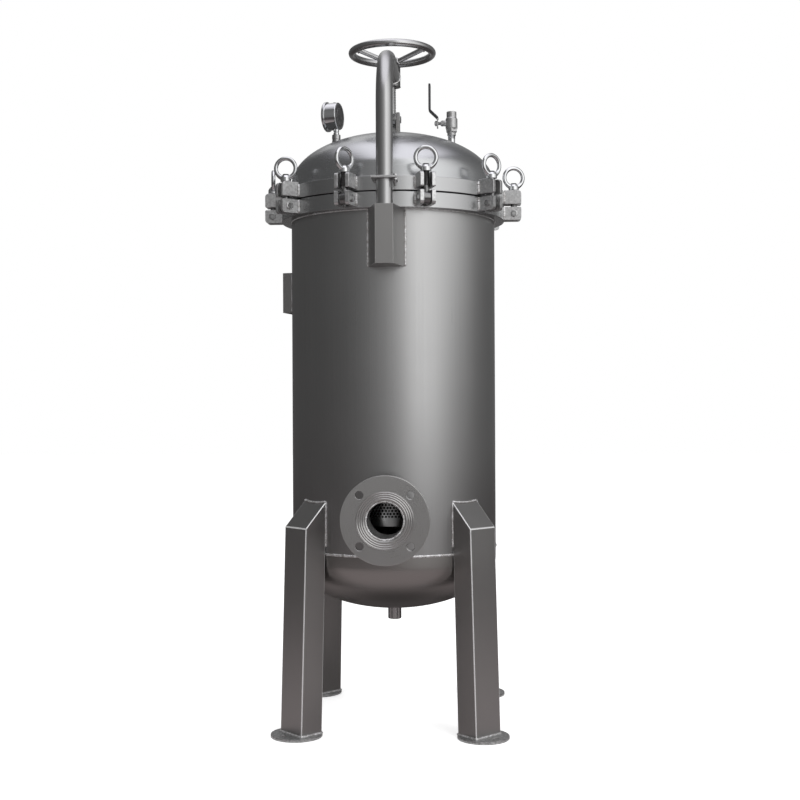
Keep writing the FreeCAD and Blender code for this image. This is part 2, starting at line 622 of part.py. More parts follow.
def build_swing_bolt(number):
    """One swing bolt on its hinge pin, and the eye nut on its stud, standing at its own azimuth."""
    angle = size("first_azimuth + 360 / bolt_count * %d" % number)
    label = "%02d" % (number + 1)
    eye_width = "(ear_gap - 2 * eye_play)"
    bolt = new_body("swing_bolt_body_" + label)
    eye = sketch_on(bolt, "eye_" + label, "YZ_Plane")
    ring_in(eye, "0", "0", "eye_radius")
    pad(bolt, eye, eye_width, midplane=True)
    shank = sketch_on(bolt, "shank_" + label, "XZ_Plane")
    outline(shank, [("0", "0"), ("stud_radius", "0"), ("stud_radius", "stud_length - tip_bevel"),
                    ("stud_radius - tip_bevel", "stud_length"), ("0", "stud_length")])
    revolve(bolt, shank)
    bore = sketch_on(bolt, "pin_bore_" + label, "YZ_Plane")
    ring_in(bore, "0", "0", "pin_radius + running")
    pocket(bolt, bore, "ear_gap * 2", midplane=True)
    station = azimuth(angle)
    spot = station.multVec(V(0, -size("pin_circle"), size(PIN_Z)))
    bolt.Placement = FreeCAD.Placement(spot, station)
    keep(bolt, "swing_bolt_" + label)

    collar = turned("nut_collar_" + label, [
        ("stud_radius + running", "0"), ("nut_radius", "0"), ("nut_radius", "nut_base"),
        ("nut_neck_radius", "nut_collar"), ("stud_radius + running", "nut_collar")])
    ring = doc.addObject("Part::Torus", "nut_ring_" + label)
    bind(ring, Radius1="ring_radius", Radius2="ring_bar")
    place(ring, z="ring_rise", rotation=LIE_Y)
    thread = cylinder("nut_thread_" + label, "stud_radius + running", "ring_rise")
    nut = fuse("eye_nut_body_" + label, collar, cut("nut_eye_" + label, ring, thread))
    foot = size(LID_Z + " + lid_ear_rise + lid_ear_height + nut_gap")
    spot = station.multVec(V(0, -size("pin_circle"), foot))
    nut.Placement = FreeCAD.Placement(spot, azimuth(angle + RING_TURNS[number % len(RING_TURNS)]))
    keep(nut, "eye_nut_" + label)


def build_nozzle(name, height, rotation):
    """A pipe through the shell wall, trimmed flush inside, and its slip-on flange with raised face."""
    length = "nozzle_reach - pipe_setback"
    outside = cylinder(name + "_pipe_outside", "pipe_radius", length, z=height, rotation=rotation)
    inside = cylinder(name + "_pipe_inside", "pipe_radius - pipe_wall", length, z=height, rotation=rotation)
    core = cylinder(name + "_core", INNER, "pipe_radius * 4", z=height + " - pipe_radius * 2")
    keep(cut(name + "_pipe_body", outside, inside, core), name + "_pipe")

    body = new_body(name + "_flange_body")
    profile = sketch_on(body, name + "_flange_profile", "XZ_Plane")
    back = "nozzle_reach - face_height - nozzle_flange_depth"
    front = "nozzle_reach - face_height"
    outline(profile, [("pipe_radius", back), ("nozzle_flange_radius", back),
                      ("nozzle_flange_radius", front), ("face_radius", front),
                      ("face_radius", "nozzle_reach"), ("pipe_radius", "nozzle_reach")])
    revolve(body, profile)
    hole = sketch_on(body, name + "_bolt_hole", "XY_Plane", "nozzle_reach")
    angle = "180 / nozzle_holes"
    ring_in(hole, "bolt_circle * cos(%s)" % angle, "bolt_circle * sin(%s)" % angle, "bolt_hole")
    bore = pocket(body, hole, "nozzle_flange_depth * 2")
    repeat(body, [bore], "nozzle_holes")
    place(body, z=height, rotation=rotation)
    keep(body, name + "_flange")


def build_legs():
    """Splayed box legs with a sloped cap, coped to shell and bottom, on round foot plates."""
    body = new_body("leg_box")
    side = sketch_on(body, "leg_side", "YZ_Plane")
    foot_out, top_out = "-leg_foot_reach", "-(leg_foot_reach - leg_splay)"
    outline(side, [(foot_out, "foot_thick"), (foot_out + " + leg_depth", "foot_thick"),
                   (top_out + " + leg_depth", "leg_top_z + leg_cap_rise"), (top_out, "leg_top_z")])
    pad(body, side, "leg_width", midplane=True)
    hollow = sketch_on(body, "leg_hollow", "YZ_Plane")
    outline(hollow, [(foot_out + " + leg_wall", "foot_thick"),
                     (foot_out + " + leg_depth - leg_wall", "foot_thick"),
                     (top_out + " + leg_depth - leg_wall", "leg_top_z + leg_cap_rise - leg_wall * 2"),
                     (top_out + " + leg_wall", "leg_top_z - leg_wall")])
    pocket(body, hollow, "leg_width - 2 * leg_wall", midplane=True)
    vessel = fuse("leg_cope", cylinder("leg_cope_shell", "shell_radius", "shell_radius", z=HEAD_Z),
                  ellipsoid("leg_cope_bowl", "shell_radius", "head_depth", HEAD_Z, upper=False))
    leg = cut("leg_body", body, vessel)
    keep(copies("leg_ring", leg, size("leg_azimuth"), int(size("leg_count"))), "legs")

    plate = new_body("foot_plate")
    disc = sketch_on(plate, "foot_disc", "XY_Plane")
    ring_in(disc, "0", "-foot_circle", "foot_radius")
    pad(plate, disc, "foot_thick")
    anchor = sketch_on(plate, "foot_anchor", "XY_Plane")
    ring_in(anchor, "0", "-anchor_circle", "anchor_hole")
    pocket(plate, anchor, "foot_thick", reverse=True)
    keep(copies("foot_plate_ring", plate, size("leg_azimuth"), int(size("leg_count"))), "foot_plates")


def build_socket():
    """Flared socket of bent plate on the shell, with a guide plate near its top for the davit tube."""
    flare = "((socket_back - socket_front) / 2 / (socket_reach - shell_radius + socket_plate * 2))"
    narrowing = "(sqrt(1 + %s ^ 2) - %s)" % (flare, flare)

    def plan(sketch, inset):
        """The socket from above with every side moved inward."""
        front = "(socket_front / 2 - %s * %s)" % (inset, narrowing)
        back = "(socket_back / 2 - %s * %s)" % (inset, narrowing)
        near = "-(socket_reach - %s)" % inset
        far = "-(shell_radius - socket_plate * 2 - %s)" % inset
        outline(sketch, [("-" + front, near), (front, near), (back, far), ("-" + back, far)])

    socket = new_body("socket_block")
    outside = sketch_on(socket, "socket_plan", "XY_Plane", "socket_z")
    plan(outside, "0")
    pad(socket, outside, "socket_height")
    well = sketch_on(socket, "socket_well", "XY_Plane", "socket_z + socket_height")
    plan(well, "socket_plate")
    pocket(socket, well, "socket_height - socket_plate")
    guide = sketch_on(socket, "socket_guide", "XY_Plane", "guide_z")
    plan(guide, "(socket_plate / 2)")
    pad(socket, guide, "guide_thick")
    eye = sketch_on(socket, "socket_eye", "XY_Plane", "guide_z + guide_thick")
    ring_in(eye, "0", "-davit_circle", "davit_radius + socket_play")
    pocket(socket, eye, "guide_thick")
    shell = cylinder("socket_cope", "shell_radius", "socket_height * 2", z="socket_z - socket_height / 2")
    keep(cut("socket_body", socket, shell), "davit_socket")


def build_davit():
    """Bent davit tube, and the sleeve at the arm's end that carries the lift screw."""
    tube_body = new_body("davit_pipe")
    route = sketch_on(tube_body, "davit_route", "YZ_Plane")
    foot, top = "socket_z + socket_plate", "arm_z - davit_bend"
    y, turn_end = "-davit_circle", "-davit_circle + davit_bend"
    upright = route.addGeometry(Part.LineSegment(V(size(y), size(foot), 0), V(size(y), size(top), 0)))
    centre = V(size(turn_end), size(top), 0)
    reach = size("davit_bend")
    bend = route.addGeometry(Part.Arc(centre + V(-reach, 0, 0), centre + V(-1, 1, 0).normalize() * reach,
                                      centre + V(0, reach, 0)))
    arm = route.addGeometry(Part.LineSegment(V(size(turn_end), size("arm_z"), 0), V(0, size("arm_z"), 0)))
    route.addConstraint(Sketcher.Constraint("Tangent", upright, 2, bend, 2))
    route.addConstraint(Sketcher.Constraint("Tangent", arm, 1, bend, 1))
    pin_point(route, upright, 1, y, foot)
    pin_point(route, bend, 3, turn_end, top)
    index = route.addConstraint(Sketcher.Constraint("Radius", bend, reach))
    route.setExpression("Constraints[%d]" % index, bound("davit_bend"))
    pin_point(route, arm, 2, "0", "arm_z")
    section = sketch_on(tube_body, "davit_section", "XY_Plane", foot)
    ring_in(section, "0", y, "davit_radius")
    ring_in(section, "0", y, "davit_radius - davit_wall")
    doc.recompute()
    pipe = tube_body.newObject("PartDesign::AdditivePipe", "davit_sweep")
    pipe.Profile = section
    pipe.Spine = (route, ["Edge1", "Edge2", "Edge3"])
    cope = cylinder("davit_cope", "sleeve_radius", "sleeve_height", z="sleeve_z")
    keep(cut("davit_body", tube_body, cope), "davit_tube")

    bore = "screw_radius + screw_play"
    keep(turned("sleeve_body", [
        (bore, "sleeve_z - collar_height"), ("collar_radius", "sleeve_z - collar_height"),
        ("collar_radius", "sleeve_z"), ("sleeve_radius", "sleeve_z"),
        ("sleeve_radius", "sleeve_z + sleeve_height"), (bore, "sleeve_z + sleeve_height")]), "davit_sleeve")


def build_lid():
    """Dome, clevis with its pin, and the strap that guides the lid on the davit tube."""
    outside = fuse("dome_outside", cylinder("dome_skirt_outside", "shell_radius", "dome_skirt", z=LID_Z),
                   ellipsoid("dome_top", "shell_radius", "dome_depth", DOME_Z, upper=True))
    inside = fuse("dome_inside", cylinder("dome_skirt_inside", INNER, "dome_skirt", z=LID_Z),
                  ellipsoid("dome_top_inside", INNER, "dome_depth - wall", DOME_Z, upper=True))
    keep(cut("dome_body", outside, inside), "lid_dome")

    clevis = new_body("clevis_block")
    side = sketch_on(clevis, "clevis_side", "YZ_Plane")
    foot = DOME_Z + " + dome_depth - clevis_cheek"
    shoulder, top = "clevis_pin_z", "clevis_pin_z + clevis_round"
    outline(side, [("-clevis_width / 2", foot), ("clevis_width / 2", foot),
                   ("clevis_width / 2", foot + " + clevis_cheek * 2"), ("clevis_round", shoulder),
                   ("clevis_round / 2", top), ("-clevis_round / 2", top), ("-clevis_round", shoulder),
                   ("-clevis_width / 2", foot + " + clevis_cheek * 2")])
    width = "(clevis_gap + 2 * clevis_cheek)"
    pad(clevis, side, width, midplane=True)
    slot = sketch_on(clevis, "clevis_slot", "XZ_Plane")
    outline(slot, [("-clevis_gap / 2", foot), ("clevis_gap / 2", foot), ("clevis_gap / 2", top + " + wall"),
                   ("-clevis_gap / 2", top + " + wall")])
    pocket(clevis, slot, "clevis_width * 2", midplane=True)
    hole = sketch_on(clevis, "clevis_hole", "YZ_Plane")
    ring_in(hole, "0", "clevis_pin_z", "clevis_pin_radius")
    pocket(clevis, hole, width + " * 2", midplane=True)
    cope = ellipsoid("clevis_cope", "shell_radius", "dome_depth", DOME_Z, upper=True)
    keep(cut("clevis_body", clevis, cope), "lid_clevis")
    half = width + " / 2"
    pin = turned("clevis_pin_body", [
        ("0", "-%s - pin_head_depth" % half), ("pin_head_radius", "-%s - pin_head_depth" % half),
        ("pin_head_radius", "-" + half), ("clevis_pin_radius", "-" + half), ("clevis_pin_radius", half),
        ("pin_head_radius", half), ("pin_head_radius", half + " + pin_head_depth"),
        ("0", half + " + pin_head_depth")])
    keep(place(pin, z="clevis_pin_z", rotation=LIE_X), "clevis_pin")

    strap = new_body("strap_plate")
    plan = sketch_on(strap, "strap_plan", "XY_Plane", "strap_z")
    inner = "-(flange_radius - strap_thick * 2)"
    outline(plan, [("-strap_width / 2", "-strap_reach"), ("strap_width / 2", "-strap_reach"),
                   ("strap_width / 2", inner), ("-strap_width / 2", inner)])
    pad(strap, plan, "strap_thick")
    eye = sketch_on(strap, "strap_eye", "XY_Plane", "strap_z")
    ring_in(eye, "0", "-davit_circle", "davit_radius + strap_play")
    pocket(strap, eye, "strap_thick", reverse=True)
    rim = cylinder("strap_cope", "flange_radius", "strap_thick * 3", z="strap_z - strap_thick")
    keep(cut("strap_body", strap, rim), "guide_strap")


def build_lift():
    """Lift screw pinned to the lid, and the three-spoked handwheel that draws it up."""
    rod = turned("screw_rod", [
        ("0", "clevis_pin_z"), ("screw_radius", "clevis_pin_z"),
        ("screw_radius", "screw_top_z - tip_bevel"),
        ("screw_radius - tip_bevel", "screw_top_z"), ("0", "screw_top_z")])
    eye = cylinder("screw_eye_disc", "screw_eye", "screw_eye_width", x="-screw_eye_width / 2",
                   z="clevis_pin_z", rotation=LIE_X)
    bore = cylinder("screw_eye_bore", "clevis_pin_radius + running", "clevis_gap * 2",
                    x="-clevis_gap", z="clevis_pin_z", rotation=LIE_X)
    keep(cut("screw_body", fuse("screw_blank", rod, eye), bore), "lift_screw")

    hub_z = "sleeve_z + sleeve_height + wheel_gap"
    wheel = new_body("wheel_body")
    hub = sketch_on(wheel, "wheel_hub", "XZ_Plane")
    bore = "screw_radius + running"
    outline(hub, [(bore, hub_z), ("hub_radius", hub_z), ("hub_radius", hub_z + " + hub_height"),
                  (bore, hub_z + " + hub_height")])
    revolve(wheel, hub)
    rim = sketch_on(wheel, "wheel_rim", "XZ_Plane")
    ring_in(rim, "rim_radius", "rim_z", "rim_bar")
    revolve(wheel, rim)
    doc.recompute()
    start = V(0, -size("(screw_radius + hub_radius) / 2"), size(hub_z + " + hub_height / 2"))
    end = V(0, -size("rim_radius"), size("rim_z"))
    lean = FreeCAD.Rotation(UP, end - start)
    rods = []
    for number in range(int(size("spoke_count"))):
        turn = azimuth(360.0 / size("spoke_count") * (number + 0.5))
        spoke = doc.addObject("Part::Cylinder", "spoke_%d" % (number + 1))
        bind(spoke, Radius="spoke_radius")
        spoke.Height = (end - start).Length
        spoke.Placement = FreeCAD.Placement(turn.multVec(start), turn * lean)
        rods.append(spoke)
    keep(fuse("wheel_welded", wheel, *rods), "handwheel")


def build_inside():
    """Ledge, tube sheet with its tie rod, baskets, felt bags and the hold-down on top."""
    keep(tube("ledge_ring", INNER, INNER + " - ledge_width", "ledge_thick", "ledge_z - ledge_thick"),
         "support_ring")

    sheet_top = "ledge_z + sheet_thick"
    plate = new_body("sheet_plate")
    disc = sketch_on(plate, "sheet_disc", "XY_Plane", "ledge_z")
    ring_in(disc, "0", "0", INNER + " - sheet_play")
    pad(plate, disc, "sheet_thick")
    seat = sketch_on(plate, "sheet_seat", "XY_Plane", "ledge_z")
    ring_in(seat, "0", "-basket_circle", "basket_radius + basket_play")
    hole = pocket(plate, seat, "sheet_thick", reverse=True)
    repeat(plate, [hole], "basket_count")
    tie = cylinder("tie_rod", "tie_radius", "tie_height", z=sheet_top)
    keep(fuse("sheet_body", plate, tie), "tube_sheet")

    rim_top = sheet_top + " + rim_thick"
    basket = turned("basket_body", [
        ("0", "basket_foot_z"), ("basket_radius", "basket_foot_z"), ("basket_radius", sheet_top),
        ("basket_rim", sheet_top), ("basket_rim", rim_top), ("basket_radius - basket_wall", rim_top),
        ("basket_radius - basket_wall", "basket_foot_z + basket_wall"),
        ("0", "basket_foot_z + basket_wall")])
    place(basket, y="-basket_circle")
    keep(copies("basket_ring", basket, 0, int(size("basket_count"))), "strainer_baskets")

    bag_out = "basket_radius - basket_wall - bag_play"
    bag_foot = "basket_foot_z + basket_wall + bag_play"
    collar_top = rim_top + " + collar_thick"
    bag = turned("bag_body", [
        ("0", bag_foot), (bag_out, bag_foot), (bag_out, rim_top), ("bag_collar", rim_top),
        ("bag_collar", collar_top), (bag_out + " - bag_wall", collar_top),
        (bag_out + " - bag_wall", bag_foot + " + bag_wall"), ("0", bag_foot + " + bag_wall")])
    place(bag, y="-basket_circle")
    keep(copies("bag_ring", bag, 0, int(size("basket_count"))), "filter_bags")

    hold = new_body("hold_down")
    level = collar_top
    first = sketch_on(hold, "hold_ring", "XY_Plane", level)
    ring_in(first, "0", "-basket_circle", "bag_collar")
    ring_in(first, "0", "-basket_circle", "bag_collar - spider_bar")
    one = pad(hold, first, "spider_thick")
    repeat(hold, [one], "basket_count")
    hub = sketch_on(hold, "hold_hub", "XY_Plane", level)
    ring_in(hub, "0", "0", "(basket_circle - bag_collar) + spider_bar / 2")
    pad(hold, hub, "spider_thick")
    bore = sketch_on(hold, "hold_bore", "XY_Plane", level)
    ring_in(bore, "0", "0", "tie_radius + tie_play")
    pocket(hold, bore, "spider_thick", reverse=True)
    keep(hold, "hold_down")
    keep(tube("knob_body", "knob_radius", "tie_radius + running", "knob_height", level + " + spider_thick"),
         "hold_down_nut")


def build_badge():
    """Folded bracket for a nameplate, welded to the shell at the rear left."""
    body = new_body("badge_block")
    plan = sketch_on(body, "badge_plan", "XY_Plane", "badge_z")
    half, back = "badge_width / 2", "-(shell_radius - badge_width / 4)"
    outer, inner = "-badge_reach", "-(badge_reach - badge_plate)"
    outline(plan, [("-" + half, outer), (half, outer), (half, back), (half + " - badge_plate", back),
                   (half + " - badge_plate", inner), ("-" + half + " + badge_plate", inner),
                   ("-" + half + " + badge_plate", back), ("-" + half, back)])
    pad(body, plan, "badge_height")
    shell = cylinder("badge_cope", "shell_radius", "badge_height * 2", z="badge_z - badge_height / 2")
    bracket = cut("badge_body", body, shell)
    bracket.Placement = FreeCAD.Placement(V(0, 0, 0), azimuth(size("badge_azimuth")))
    keep(bracket, "nameplate_bracket")


def build_gauge():
    """Boss on the dome, gauge case with bezel and stem, dial, pointer and window.

    The gauge is made facing the front about its stem's axis and then turned as a whole.
    """
    post = cylinder("boss_post", "boss_radius", "boss_top_z - " + DOME_Z, x="-gauge_reach", z=DOME_Z)
    dome = ellipsoid("boss_cope", "shell_radius", "dome_depth", DOME_Z, upper=True)
    keep(cut("boss_body", post, dome), "gauge_boss")

    front = "(case_front + bezel_depth)"
    shell = turned("case_shell", [
        ("0", "-case_back"), ("case_radius", "-case_back"), ("case_radius", "case_front"),
        ("bezel_radius", "case_front"), ("bezel_radius", front), ("case_radius - case_wall", front),
        ("case_radius - case_wall", "-case_back + case_wall"), ("0", "-case_back + case_wall")])
    place(shell, z="gauge_z", rotation=LIE_Y)
    stem = cylinder("gauge_stem", "gauge_stem_radius", "gauge_z - case_radius + case_wall / 2 - boss_top_z",
                    z="boss_top_z")
    pointer_plane = front + " - dial_back + needle_gap"
    spindle = cylinder("gauge_spindle", "spindle_radius", pointer_plane + " - needle_play + case_back",
                       y="case_back", z="gauge_z", rotation=LIE_Y)
    case = fuse("case_body", shell, stem, spindle)
    free = "case_radius - case_wall - pane_play"
    dial = cylinder("dial_disc", free, "dial_thick", y="-(%s - dial_back) + dial_thick" % front,
                    z="gauge_z", rotation=LIE_Y)
    hole = cylinder("dial_hole", "spindle_radius + running", "dial_thick * 3",
                    y="-(%s - dial_back) + dial_thick * 2" % front, z="gauge_z", rotation=LIE_Y)
    face = cut("dial_body", dial, hole)
    pane = doc.addObject("Part::Cylinder", "pane_body")
    bind(pane, Radius="case_radius - case_wall", Height="pane_thick")

    needle = new_body("needle_body")
    shape = sketch_on(needle, "needle_shape", "XZ_Plane")
    outline(shape, [("-needle_butt / 2", "-needle_tail"), ("needle_butt / 2", "-needle_tail"),
                    ("needle_width / 2", "0"), ("needle_tip / 2", "needle_length"),
                    ("-needle_tip / 2", "needle_length"), ("-needle_width / 2", "0")])
    pad(needle, shape, "needle_thick")
    disc = sketch_on(needle, "needle_disc", "XZ_Plane")
    ring_in(disc, "0", "0", "needle_hub")
    pad(needle, disc, "needle_thick")

    turn = azimuth(size("gauge_turn"))
    spot = V(-size("gauge_reach"), 0, 0)
    lift = V(0, -size(pointer_plane), size("gauge_z"))
    dip = FreeCAD.Rotation(V(0, 1, 0), size("needle_rest"))
    for part, label in ((case, "gauge_case"), (face, "gauge_dial")):
        part.Placement = FreeCAD.Placement(spot, turn)
        keep(part, label)
    sight = V(0, -size(front + " - pane_back"), size("gauge_z"))
    pane.Placement = FreeCAD.Placement(spot + turn.multVec(sight), turn * LIE_Y)
    keep(pane, "gauge_window")
    needle.Placement = FreeCAD.Placement(spot + turn.multVec(lift), turn * dip)
    keep(needle, "gauge_pointer")


def build_vent():
    """Vent valve on the dome: nipple, turned valve body with gland, and the cranked lever on its stem."""
    post = cylinder("nipple_post", "nipple_radius", "valve_foot_z - " + DOME_Z, x="valve_reach", z=DOME_Z)
    dome = ellipsoid("nipple_cope", "shell_radius", "dome_depth", DOME_Z, upper=True)
    keep(cut("nipple_body", post, dome), "vent_nipple")

    chamfer = "(valve_radius - valve_end_radius)"
    blank = turned("valve_blank", [
        ("0", "valve_foot_z"), ("valve_neck_radius", "valve_foot_z"), ("valve_radius", "valve_low_z"),
        ("valve_radius", "valve_high_z"), ("valve_end_radius", "valve_high_z + " + chamfer),
        ("valve_end_radius", "valve_top_z"), ("valve_bore", "valve_top_z"),
        ("valve_bore", "valve_top_z - valve_bore_depth"), ("0", "valve_top_z - valve_bore_depth")])
    away = FreeCAD.Rotation(V(0, 1, 0), -90)
    gland = cylinder("valve_gland", "gland_radius", "gland_reach", z="stem_z", rotation=away)
    bore = cylinder("valve_stem_bore", "stem_radius + running", "stem_reach", x="-stem_start", z="stem_z",
                    rotation=away)
    valve = cut("valve_body_bored", fuse("valve_welded", blank, gland), bore)
    keep(place(valve, x="valve_reach"), "valve_body")

    lever = new_body("lever_plate")
    side = sketch_on(lever, "lever_side", "XZ_Plane")
    inner, outer = "-lever_reach", "-lever_reach - lever_step"
    start, step_end = "stem_z + lever_start", "stem_z + lever_start + lever_step"
    outline(side, [(inner, "stem_z - lever_low"), (inner, start), (outer, step_end),
                   (outer, "stem_z + lever_length"), (outer + " - lever_thick", "stem_z + lever_length"),
                   (outer + " - lever_thick", step_end + " - lever_thick / 2"),
                   (inner + " - lever_thick", start + " - lever_thick / 2"),
                   (inner + " - lever_thick", "stem_z - lever_low")])
    pad(lever, side, "lever_width", midplane=True)
    grip = sketch_on(lever, "lever_grip", "XZ_Plane")
    proud = "(grip_thick - lever_thick) / 2"
    right, left = outer + " + " + proud, outer + " - lever_thick - " + proud
    outline(grip, [(right, step_end + " + lever_thick"), (right, "stem_z + lever_length + " + proud),
                   (left, "stem_z + lever_length + " + proud), (left, step_end + " + lever_thick")])
    pad(lever, grip, "lever_width + grip_thick - lever_thick", midplane=True)
    stem = cylinder("lever_stem", "stem_radius", "stem_reach - stem_start - running",
                    x="-stem_start - running", z="stem_z", rotation=away)
    nut = cylinder("lever_nut", "lever_nut_radius", "lever_nut_depth",
                   x="-lever_reach - lever_thick", z="stem_z", rotation=away)
    handle = fuse("lever_body", lever, stem, nut)
    keep(place(handle, x="valve_reach"), "vent_lever")


def check_and_write():
    """Recompute, refuse anything that failed, and write one file for each sub-part."""
    doc.recompute()
    for item in doc.Objects:
        if any(mark in item.State for mark in ("Invalid", "Error")):
            raise RuntimeError("%s failed: %s" % (item.Name, item.State))
    os.makedirs("parts", exist_ok=True)
    for piece in pieces:
        shape = piece.Shape
        if shape.isNull() or not shape.isValid() or not shape.Solids:
            raise RuntimeError("%s has no valid shape" % piece.Label)
    for piece in pieces:
        piece.Shape.exportStep("parts/%s.step" % piece.Label)
        print("%-20s %2d solids %12.1f mm3" % (piece.Label, len(piece.Shape.Solids), piece.Shape.Volume))


build_vessel()
build_drain()
build_flanges()
build_ears()
for station in range(int(size("bolt_count"))):
    build_swing_bolt(station)
build_nozzle("outlet", "outlet_z", LIE_Y)
build_nozzle("inlet", "inlet_z", LIE_BACK)
build_legs()
build_socket()
build_davit()
build_lid()
build_lift()
build_inside()
build_badge()
build_gauge()
build_vent()
check_and_write()
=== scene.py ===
"""Looks of a stainless bag filter housing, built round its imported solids.

Sizes are in millimetres, in the part's own frame: +Z up, the floor at zero, the outlet nozzle and the
davit towards -Y. Only lamps, tent, floor and most shader distances are in metres. Pieces that repeat
round the vessel are made once at the front and turned to their azimuth: 0 is the front and 90 is the
right-hand side.
"""
import logging
import math
from dataclasses import dataclass, field
from enum import Enum
from typing import Any, Sequence

import bmesh
import bpy
import numpy as np
from mathutils import Matrix, Vector


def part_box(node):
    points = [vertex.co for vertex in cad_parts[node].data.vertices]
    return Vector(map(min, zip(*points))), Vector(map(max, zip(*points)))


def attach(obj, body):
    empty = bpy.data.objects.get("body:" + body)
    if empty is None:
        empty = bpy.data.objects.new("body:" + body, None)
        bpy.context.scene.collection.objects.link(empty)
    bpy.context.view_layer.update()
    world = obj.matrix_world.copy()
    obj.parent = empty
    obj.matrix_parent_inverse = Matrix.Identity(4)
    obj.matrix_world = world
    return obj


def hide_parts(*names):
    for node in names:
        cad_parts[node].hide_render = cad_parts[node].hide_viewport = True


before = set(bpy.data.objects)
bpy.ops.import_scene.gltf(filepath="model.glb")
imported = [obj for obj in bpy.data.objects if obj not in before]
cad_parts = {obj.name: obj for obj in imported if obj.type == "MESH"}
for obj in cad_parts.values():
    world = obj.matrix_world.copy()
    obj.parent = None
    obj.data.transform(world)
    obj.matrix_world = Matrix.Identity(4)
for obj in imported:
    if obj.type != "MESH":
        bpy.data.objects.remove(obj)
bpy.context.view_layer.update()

LOG = logging.getLogger("housing")
MM = 0.001
FULL = 2.0 * math.pi
UP = (0, 0, 1)
FINE = 240  # pieces in the circle of a large turned surface
SHELL = 250.0  # outer radius of the shell and the dome
RIM = 274.0  # outer radius of both flanges
WALL = 4.0  # thickness of shell, heads and davit tube
DOME_BASE, DOME_DEEP = 1305.0, 125.0  # foot and height of the dome's half ellipse
LID_RING = (1252.0, 1285.0)  # lower and upper face of the lid's flange
GRAIN = 900.0  # lines of grain in a metre
CREASE = 38.0  # degrees from which an edge stays sharp
Points = np.ndarray


class Grain(Enum):
    """The way a surface was brushed or turned."""

    ALONG = "streaks along the vessel's axis"
    ROUND = "rings about the vessel's axis"
    FACE = "rings about a nozzle's axis"
    SATIN = "fine blasted grain with no direction"


class Value:
    """A shader socket on which Python's operators add Math nodes."""

    def __init__(self, tree: "Tree", socket: Any) -> None:
        """Keep the socket and the tree that it belongs to."""
        self.tree = tree
        self.socket = socket

    def __add__(self, other: Any) -> "Value":
        """This plus another."""
        return self.tree.maths("ADD", self, other)

    def __sub__(self, other: Any) -> "Value":
        """This less another."""
        return self.tree.maths("SUBTRACT", self, other)

    def __rsub__(self, other: Any) -> "Value":
        """Another less this."""
        return self.tree.maths("SUBTRACT", other, self)

    def __mul__(self, other: Any) -> "Value":
        """This times another."""
        return self.tree.maths("MULTIPLY", self, other)

    def __truediv__(self, other: Any) -> "Value":
        """This over another."""
        return self.tree.maths("DIVIDE", self, other)

    def __pow__(self, other: Any) -> "Value":
        """This to a power."""
        return self.tree.maths("POWER", self, other)

    __radd__ = __add__
    __rmul__ = __mul__

    def angle_with(self, other: "Value") -> "Value":
        """The angle whose tangent is this over another, in radians."""
        return self.tree.maths("ARCTAN2", self, other)

    def toward(self, goal: float, share: "Value") -> "Value":
        """This drawn to a goal by a share."""
        return self + (self * -1.0 + goal) * share

    def clipped(self) -> "Value":
        """This held between 0 and 1."""
        return self.tree.node("ShaderNodeClamp", {}, {"Value": self})


